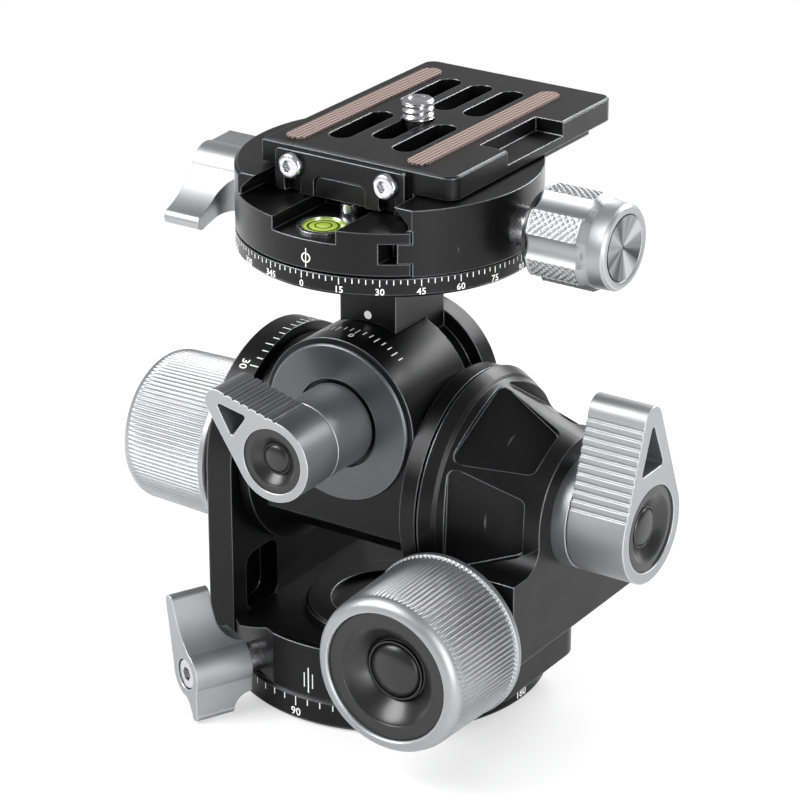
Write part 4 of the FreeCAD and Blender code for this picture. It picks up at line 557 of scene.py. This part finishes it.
for node, axis, centre, body in (
    ("front_knob_insert", "y", FRONT_KNOB, "front_knob"),
    ("left_knob_insert", "x", LEFT_KNOB, "left_knob"),
    ("side_lever_insert", "x", (0.0, TILT_Z), "side_lever"),
    ("front_lever_insert", "y", (0.0, ROLL_Z), "front_lever"),
):
    low, high = node_mm(node)
    index = "xyz".index(axis)
    floor, lip = (low[index], high[index]) if node == "side_lever_insert" else (high[index], low[index])
    radius = (high[2] - low[2]) / 2.0
    dished_insert(node, axis, centre, floor, lip, radius, body)
    print(node, "floor", round(floor, 2), "lip", round(lip, 2), "radius", round(radius, 2))

# %% [markdown]
# ## Clamp knob
# This knob is knurled with crossing diagonals, then six finger hollows are milled across the
# knurl. The diamonds are what two sets of slanting grooves leave standing. A hollow is the part
# of the rim inside the milling cutter's circle, so its depth at an angle comes from where a line
# from the knob's axis meets that circle.


# %% Scalloped, diamond-knurled knob
def clamp_knob_relief(along, angle):
    """Grooves of two slanting triangle waves on the lobes, the cutter's circle between the lobes."""
    turn = (angle + math.pi / 6.0) % (math.pi / 3.0) - math.pi / 6.0
    across = CUTTER_PLACE * np.sin(turn)
    inside = np.abs(across) < CUTTER_R
    half_chord = np.sqrt(np.where(inside, CUTTER_R**2 - across**2, 0.0))
    hollow = np.where(inside, np.maximum(CLAMP_R - (CUTTER_PLACE * np.cos(turn) - half_chord), 0.0), 0.0)
    slant_a = np.abs(((angle * CLAMP_R + along) / KNURL_PITCH) % 1.0 - 0.5)
    slant_b = np.abs(((angle * CLAMP_R - along) / KNURL_PITCH) % 1.0 - 0.5)
    groove = GROOVE_SLOPE * np.maximum(slant_a, slant_b)
    lobe = (along > clamp_start + 0.8) & (along < clamp_start + 11.3) & (hollow < 0.02)
    return hollow * (along < clamp_start + 12.2) + groove * lobe


CLAMP_R, CUTTER_PLACE, CUTTER_R = 9.5, 12.4, 4.2
DIAMONDS, POINTS_PER_DIAMOND, GROOVE_SLOPE = 42, 16, 0.7
KNURL_PITCH = 2.0 * math.pi * CLAMP_R / DIAMONDS
clamp_low, clamp_high = node_mm("clamp_knob")
clamp_start = clamp_low[0]
clamp_centre = (0.0, (clamp_low[2] + clamp_high[2]) / 2.0)
along = [0, 0, 0.5, 0.8, 11.3, 11.6, 13.0, 13.4, 16.3, 16.9, 16.9, 16.7, 16.2, 16.2]
radius = [0, 8.8, 9.4, 9.5, 9.5, 9.4, 8.6, 8.45, 8.35, 7.8, 6.8, 6.5, 6.4, 0]
coarse = np.stack([clamp_start + np.array(along), radius], -1)
clamp_profile = np.concatenate([coarse[:3], dense(coarse[3:5], 0.17), coarse[5:]])
clamp_shell = revolved(
    "clamp_knob_shell", "x", clamp_centre, clamp_profile, DIAMONDS * POINTS_PER_DIAMOND,
    clamp_knob_relief, silver_blasted, "clamp_knob", ("clamp_knob",),
)
print("clamp knob faces:", len(clamp_shell.data.polygons))

# %% [markdown]
# ## Camera screw
# The thread of a quarter-inch camera screw climbs 1.27 mm each turn. Along the axis its outline
# is a triangle wave, and the wave slides by one pitch for each turn of the angle, which is all
# that makes it a helix.


# %% Camera screw thread
def thread_relief(along, angle):
    """Relief of a thread: a triangle wave along the axis, slid by the angle's share of one pitch."""
    phase = ((along - THREAD_START) / THREAD_PITCH - angle / (2.0 * math.pi)) % 1.0
    ends = np.clip((along - THREAD_START) / 0.4, 0, 1) * (along < THREAD_END)
    return THREAD_DEPTH * np.abs(2.0 * phase - 1.0) * ends


THREAD_PITCH, THREAD_START, THREAD_DEPTH = 1.27, 114.0, 0.55
screw_low, screw_high = node_mm("camera_screw")
THREAD_END = screw_high[2] - 0.45
foot, top = screw_low[2], screw_high[2]
head_radius = (screw_high[0] - screw_low[0]) / 2.0
neck = [
    (foot, 0), (foot, head_radius), (foot + 1.2, head_radius),
    (foot + 1.2, 2.4), (THREAD_START - 0.3, 2.4),
]
ridge = dense([(THREAD_START, 3.17), (THREAD_END, 3.17)], 0.08)
nose = [(top - 0.05, 2.7), (top, 2.5), (top, 1.9), (top - 0.25, 1.6), (top - 0.25, 0)]
screw_centre = (0.0, (screw_low[1] + screw_high[1]) / 2.0)
camera_thread = revolved(
    "camera_screw_thread", "z", screw_centre, np.vstack([neck, ridge, nose]), 96,
    thread_relief, bright_steel, "camera_screw", ("camera_screw",),
)
print("camera screw from", foot.round(2), "to", top.round(2), "faces", len(camera_thread.data.polygons))

# %% [markdown]
# ## Socket screws
# The flap is held by two button screws with hexagon sockets. A hexagon seen from its middle has
# a radius of apothem over cosine of the angle from the middle of the nearest flat. Only the rows
# inside the socket follow it, and all the other rows stay round.


# %% Socket screws of the flap
def hex_relief(along, angle):
    """Relief of a hexagon: apothem minus apothem / cos(angle from the flat), in the socket only."""
    turn = (angle + math.pi / 6.0) % (math.pi / 3.0) - math.pi / 6.0
    rows = np.arange(len(along))[:, None] >= SOCKET_ROW
    return np.where(rows, SOCKET_R - SOCKET_R / np.cos(turn), 0.0)


SOCKET_R, SOCKET_ROW = 1.2, 8
flap_low, flap_high = node_mm("flap_screws")
face, shank_end = flap_low[1], flap_high[1]
middle_z = (flap_low[2] + flap_high[2]) / 2.0
head_r = (flap_high[2] - flap_low[2]) / 2.0
along = [
    shank_end, shank_end, face + 1.3, face + 1.3, face + 0.7, face + 0.3,
    face + 0.05, face, face, face, face + 0.9, face + 0.9,
]
radius = [
    0, 1.35, 1.35, head_r, head_r, head_r - 0.12,
    head_r - 0.4, head_r - 0.7, 1.5, SOCKET_R, SOCKET_R, 0,
]
screw_profile = np.stack([along, radius], -1)
for side, name, replaced in ((-1, "flap_screw_left", ("flap_screws",)), (1, "flap_screw_right", ())):
    centre = (side * (flap_high[0] - head_r), middle_z)
    revolved(
        name, "y", centre, screw_profile, 72, hex_relief,
        bright_steel, "plate", replaced,
    )
print("flap screws at height", round(middle_z, 2), "head radius", round(head_r, 2))

# %% [markdown]
# ## Scales
# A scale is engraved and filled with white. Each mark here is a very thin closed slab that
# follows the round it sits on: its corners are placed by angle and height, so a whole scale is
# one array. The numbers are ordinary text, turned to a mesh and bent round in the same way.


# %% Marks on a round
def bent(flat, axis, centre, radius):
    """Wraps flat points round an axis: x is arc length, y the place along the axis, z stands out."""
    angle = flat[:, 0] / radius
    reach = radius + flat[:, 2]
    return on_axis(np.stack([reach * np.cos(angle), reach * np.sin(angle), flat[:, 1]], -1), axis, centre)


def slabs(rows):
    """Closed slabs from rows of (middle x, low y, high y, width): eight corners and six faces each."""
    middle, low, high, width = np.array(rows, float).T
    x = middle[:, None] + width[:, None] / 2.0 * np.array([-1, 1, 1, -1, -1, 1, 1, -1])
    y = np.stack([low, low, high, high, low, low, high, high], -1)
    z = 0.0 * x + np.repeat([-INK_BELOW, INK_ABOVE], 4)
    box = np.array([[0, 3, 2, 1], [4, 5, 6, 7], [0, 1, 5, 4], [1, 2, 6, 5], [2, 3, 7, 6], [3, 0, 4, 7]])
    corners = (np.arange(len(middle))[:, None, None] * 8 + box).ravel()
    return np.stack([x, y, z], -1).reshape(-1, 3), corners, np.arange(len(corners) // 4) * 4


def number_mesh(text, height):
    """Points, corners and face starts of a short number, centred on x and standing on y = 0."""
    curve = bpy.data.curves.new("number", "FONT")
    curve.body, curve.size, curve.align_x = text, height * 1.38, "CENTER"
    curve.extrude, curve.resolution_u, curve.offset = 0.05, 2, height * 0.012
    holder = bpy.data.objects.new("number", curve)
    bpy.context.scene.collection.objects.link(holder)
    bpy.context.view_layer.update()
    made = bpy.data.meshes.new_from_object(holder.evaluated_get(bpy.context.evaluated_depsgraph_get()))
    points = np.empty(len(made.vertices) * 3)
    made.vertices.foreach_get("co", points)
    points = points.reshape(-1, 3)
    points[:, 2] = np.where(points[:, 2] > 0, INK_ABOVE, -INK_BELOW)
    corners = np.empty(len(made.loops), np.int32)
    made.loops.foreach_get("vertex_index", corners)
    starts = np.empty(len(made.polygons), np.int32)
    made.polygons.foreach_get("loop_start", starts)
    bpy.data.objects.remove(holder)
    bpy.data.meshes.remove(made)
    return points, corners, starts


def scale(name, axis, centre, radius, ticks, labels, body):
    """One scale: ticks are (angle, low, high, width), labels are (angle, foot, height, text)."""
    rows = np.array(ticks, float)
    rows[:, 0] = np.radians(rows[:, 0]) * radius
    points, corners, starts = slabs(rows)
    for angle, foot, height, text in labels:
        more, more_corners, more_starts = number_mesh(text, height)
        more = more + [math.radians(angle) * radius, foot, 0.0]
        starts = np.concatenate([starts, more_starts + len(corners)])
        corners = np.concatenate([corners, more_corners + len(points)])
        points = np.concatenate([points, more])
    bent_points = bent(points, axis, centre, radius)
    return mesh_piece(name, bent_points, corners, starts, white_print, body)


INK_ABOVE, INK_BELOW = 0.02, 0.1
print("scale helpers ready")

# %% [markdown]
# ## Pan scales
# The two full circles are in whole degrees. The base has a mark every 5 degrees, with a longer one
# and a number every 30. The pan ring under the clamp is finer: a mark every 2.5 degrees, a longer
# one every 5, and the longest every 15, each with its number below.

# %% Pan scales
base_ticks = [(BASE_ZERO + k, 3.1 if k % 30 == 0 else 3.8, 5.1, 0.22) for k in range(0, 360, 5)]
base_labels = [(BASE_ZERO + k, 1.0, 1.75, str(k)) for k in range(0, 360, 30)]
base_scale = scale("base_scale", "z", (0, 0), BASE_R, base_ticks, base_labels, "base")
steps = np.arange(0, 144)
low = np.where(steps % 6 == 0, 93.45, np.where(steps % 2 == 0, 93.8, 94.05))
pan_ticks = np.stack([steps * 2.5 + PAN_ZERO, low, low * 0 + 94.8, low * 0 + 0.17], -1)
pan_labels = [(PAN_ZERO + k, 91.8, 1.35, str(k)) for k in range(0, 360, 15)]
pan_scale = scale("pan_scale", "z", (0, 0), PAN_R, pan_ticks, pan_labels, "yoke")
print("scale faces:", len(base_scale.data.polygons), len(pan_scale.data.polygons))

# %% [markdown]
# ## Tilt and roll scales
# A worm drive moves through part of a circle only, so these scales are arcs. The tilt scale runs
# 30 degrees each way round the top of the frame's arm, and the roll scale 35 degrees each way
# round the barrel of the middle body. Both have a mark every 5 degrees and a longer one every 15.

# %% Tilt and roll scales
tilt_ticks = [
    (TILT_ZERO + k, -24.4 if k % 15 == 0 else -23.9, -22.4, 0.22) for k in range(-30, 31, 5)
]
tilt_labels = [(TILT_ZERO + k, -26.6, 1.8, str(abs(k))) for k in (-30, 30)]
scale("tilt_scale", "x", (0, TILT_Z), ARM_R, tilt_ticks, tilt_labels, "frame")
roll_ticks = [
    (ROLL_ZERO + k, -13.6 if k % 15 == 0 else -13.0, -11.6, 0.24) for k in range(-35, 36, 5)
]
roll_labels = [(ROLL_ZERO, -15.6, 1.6, "0")]
scale("roll_scale", "y", (0, ROLL_Z), BARREL_R, roll_ticks, roll_labels, "middle")
print("tilt and roll scales done")

# %% [markdown]
# ## Index marks
# A scale is read against a line on the part beside it. The frame has a long line between two
# short ones above the base scale, and the clamp has a line through a small ring above the pan
# scale. A white dot is set in the yoke, above the roll axis.

# %% Index marks
frame_marks = [(-86.7, 6.7, 12.2, 0.26), (-88.4, 7.8, 11.0, 0.22), (-85.0, 7.8, 11.0, 0.22)]
scale("frame_index", "z", (0, 0), FRAME_INDEX_R, frame_marks, [], "frame")
scale("clamp_index", "z", (0, 0), PAN_R, [(INDEX_ANGLE, 95.8, 99.6, 0.2)], [], "clamp")


def ring_mark(name, axis, centre, radius, angle, along, inner, outer, body):
    """Printed ring: a flat ring from inner to outer radius, bent round like the scales."""
    turn = np.linspace(0.0, 2.0 * math.pi, 40, endpoint=False)
    around = np.stack([np.cos(turn), np.sin(turn)], -1)
    section = ((inner, -INK_BELOW), (outer, -INK_BELOW), (outer, INK_ABOVE), (inner, INK_ABOVE))
    flat = np.concatenate([
        np.concatenate([around * reach, np.full((len(turn), 1), height)], -1)
        for reach, height in section
    ])
    flat += [math.radians(angle) * radius, along, 0.0]
    corners, starts = ring_faces(len(turn))
    points = bent(flat, axis, centre, radius)
    return mesh_piece(name, points, corners, starts, white_print, body)


ring_mark("clamp_index_ring", "z", (0, 0), PAN_R, INDEX_ANGLE, 97.7, 0.75, 1.0, "clamp")
dot = [(-7.74, 0.0), (-7.74, 0.85), (-7.6, 0.85), (-7.6, 0.0)]
revolved("yoke_dot", "y", (0.0, YOKE_DOT_Z), dot, 32, smooth_round, white_print, "yoke")
print("index marks done")

# %% [markdown]
# ## Bubble level
# The level is a bright ring round a tinted cap. Two dark circles mark where the bubble belongs,
# and the bubble rests inside the smaller one. Real circles are printed under the glass. Here each
# is a thin flat ring on the cap, and the bubble is a low dome turned from a small profile.


# %% Level rings and bubble
def flat_ring(name, centre, floor, inner, outer, rise, material, body):
    """A closed ring of rectangular section: the four corners of the section swept round +Z."""
    turn = np.linspace(0.0, 2.0 * math.pi, 64, endpoint=False)
    section = np.array([(inner, floor), (outer, floor), (outer, floor + rise), (inner, floor + rise)])
    reach = section[:, 0, None]
    height = section[:, 1, None] + 0.0 * turn
    local = np.stack([reach * np.cos(turn), reach * np.sin(turn), height], -1).reshape(-1, 3)
    corners, starts = ring_faces(len(turn))
    return mesh_piece(name, on_axis(local, "z", centre), corners, starts, material, body)


vial_low, vial_high = node_mm("level_vial")
LEVEL = (0.0, (vial_low[1] + vial_high[1]) / 2.0)
cap = vial_high[2] - 0.32
flat_ring("level_outer_circle", LEVEL, cap + 0.02, 2.75, 3.15, 0.12, level_line, "clamp")
flat_ring("level_inner_circle", LEVEL, cap + 0.12, 1.45, 1.7, 0.12, level_line, "clamp")
bubble_turn = np.linspace(0.0, math.pi / 2.0, 8)
bubble = np.stack([cap + 0.1 + 0.2 * np.sin(bubble_turn), 1.15 * np.cos(bubble_turn)], -1)
bubble = np.vstack([[(cap, 0.0), (cap, 1.15)], bubble])
revolved("level_bubble", "z", LEVEL, bubble, 48, smooth_round, level_bubble, "clamp")
print("level at", LEVEL, "cap height", round(cap, 2))

# %% [markdown]
# ## Floor and lights
# The head stands on a plain white surface. A camera ray that misses the head should see white
# without the lamps being turned up, so the world answers camera and transmission rays with plain
# white and every other ray with a softer level. The floor is paper that glows for the camera
# alone: half way near the head, where its shadow should still be seen, and fully farther out.


# %% Studio
def studio_world():
    """White for camera and transmission rays, a softer level for the light on the head."""
    world = bpy.data.worlds.new("studio")
    bpy.context.scene.world = world
    world.use_nodes = True
    tree = world.node_tree
    tree.nodes.clear()
    rays = add(tree, "ShaderNodeLightPath")
    seen = add(tree, "ShaderNodeMath", {
        0: rays.outputs["Is Camera Ray"],
        1: rays.outputs["Is Transmission Ray"],
    }, operation="MAXIMUM")
    level = add(tree, "ShaderNodeMapRange", {
        "Value": seen.outputs[0],
        "To Min": 0.4,
        "To Max": 1.0,
    })
    sky = add(tree, "ShaderNodeBackground", {"Color": (1, 1, 1, 1), "Strength": level.outputs[0]})
    output = tree.nodes.new("ShaderNodeOutputWorld")
    tree.links.new(sky.outputs[0], output.inputs["Surface"])


def soft_lamp(name, place_mm, aim_mm, size_mm, power):
    """A rectangular lamp that looks at a point."""
    lamp = bpy.data.lights.new(name, "AREA")
    lamp.shape = "RECTANGLE"
    lamp.size, lamp.size_y = size_mm[0] * MM, size_mm[1] * MM
    lamp.energy = power
    holder = bpy.data.objects.new(name, lamp)
    bpy.context.scene.collection.objects.link(holder)
    spot, aim = Vector(place_mm) * MM, Vector(aim_mm) * MM
    facing = (aim - spot).to_track_quat("-Z", "Y").to_matrix().to_4x4()
    holder.matrix_world = Matrix.Translation(spot) @ facing


studio_world()
soft_lamp("key_lamp", (-430, -420, 560), (0, 0, 60), (520, 420), 8.0)
soft_lamp("fill_lamp", (600, -330, 200), (0, 0, 60), (240, 620), 4.5)
soft_lamp("rim_lamp", (120, 620, 480), (0, 0, 70), (640, 260), 7.0)


def floor_material():
    """Near-white paper that glows white for the camera, less so near the head and its shadow."""
    material, tree, output = new_material("white_paper_floor")
    rays = add(tree, "ShaderNodeLightPath")
    paper = add(tree, "ShaderNodeBsdfDiffuse", {"Color": light_value("#f4f4f4")})
    glow = add(tree, "ShaderNodeEmission", {"Color": (1, 1, 1, 1), "Strength": 1.0})
    place = add(tree, "ShaderNodeTexCoord").outputs["Object"]
    reach = add(tree, "ShaderNodeVectorMath", {0: place}, operation="LENGTH")
    white = add(tree, "ShaderNodeMapRange", {
        "Value": reach.outputs["Value"],
        "From Min": 60.0 * MM,
        "From Max": 300.0 * MM,
        "To Min": 0.5,
        "To Max": 1.0,
    })
    seen = add(tree, "ShaderNodeMath", {
        0: rays.outputs["Is Camera Ray"],
        1: white.outputs[0],
    }, operation="MULTIPLY")
    blend = add(tree, "ShaderNodeMixShader", {
        0: seen.outputs[0],
        1: paper.outputs[0],
        2: glow.outputs[0],
    })
    tree.links.new(blend.outputs[0], output.inputs["Surface"])
    return material


FLOOR_REACH, FLOOR_Z = 3.0, -0.0002
floor_corners = [
    (x * FLOOR_REACH, y * FLOOR_REACH, FLOOR_Z) for x, y in ((-1, -1), (1, -1), (1, 1), (-1, 1))
]
floor_mesh = bpy.data.meshes.new("floor")
floor_mesh.from_pydata(floor_corners, [], [(0, 1, 2, 3)])
floor = bpy.data.objects.new("floor", floor_mesh)
bpy.context.scene.collection.objects.link(floor)
floor_mesh.materials.append(floor_material())
bpy.context.scene.view_settings.view_transform = "Standard"
print("lamps:", len(bpy.data.lights))
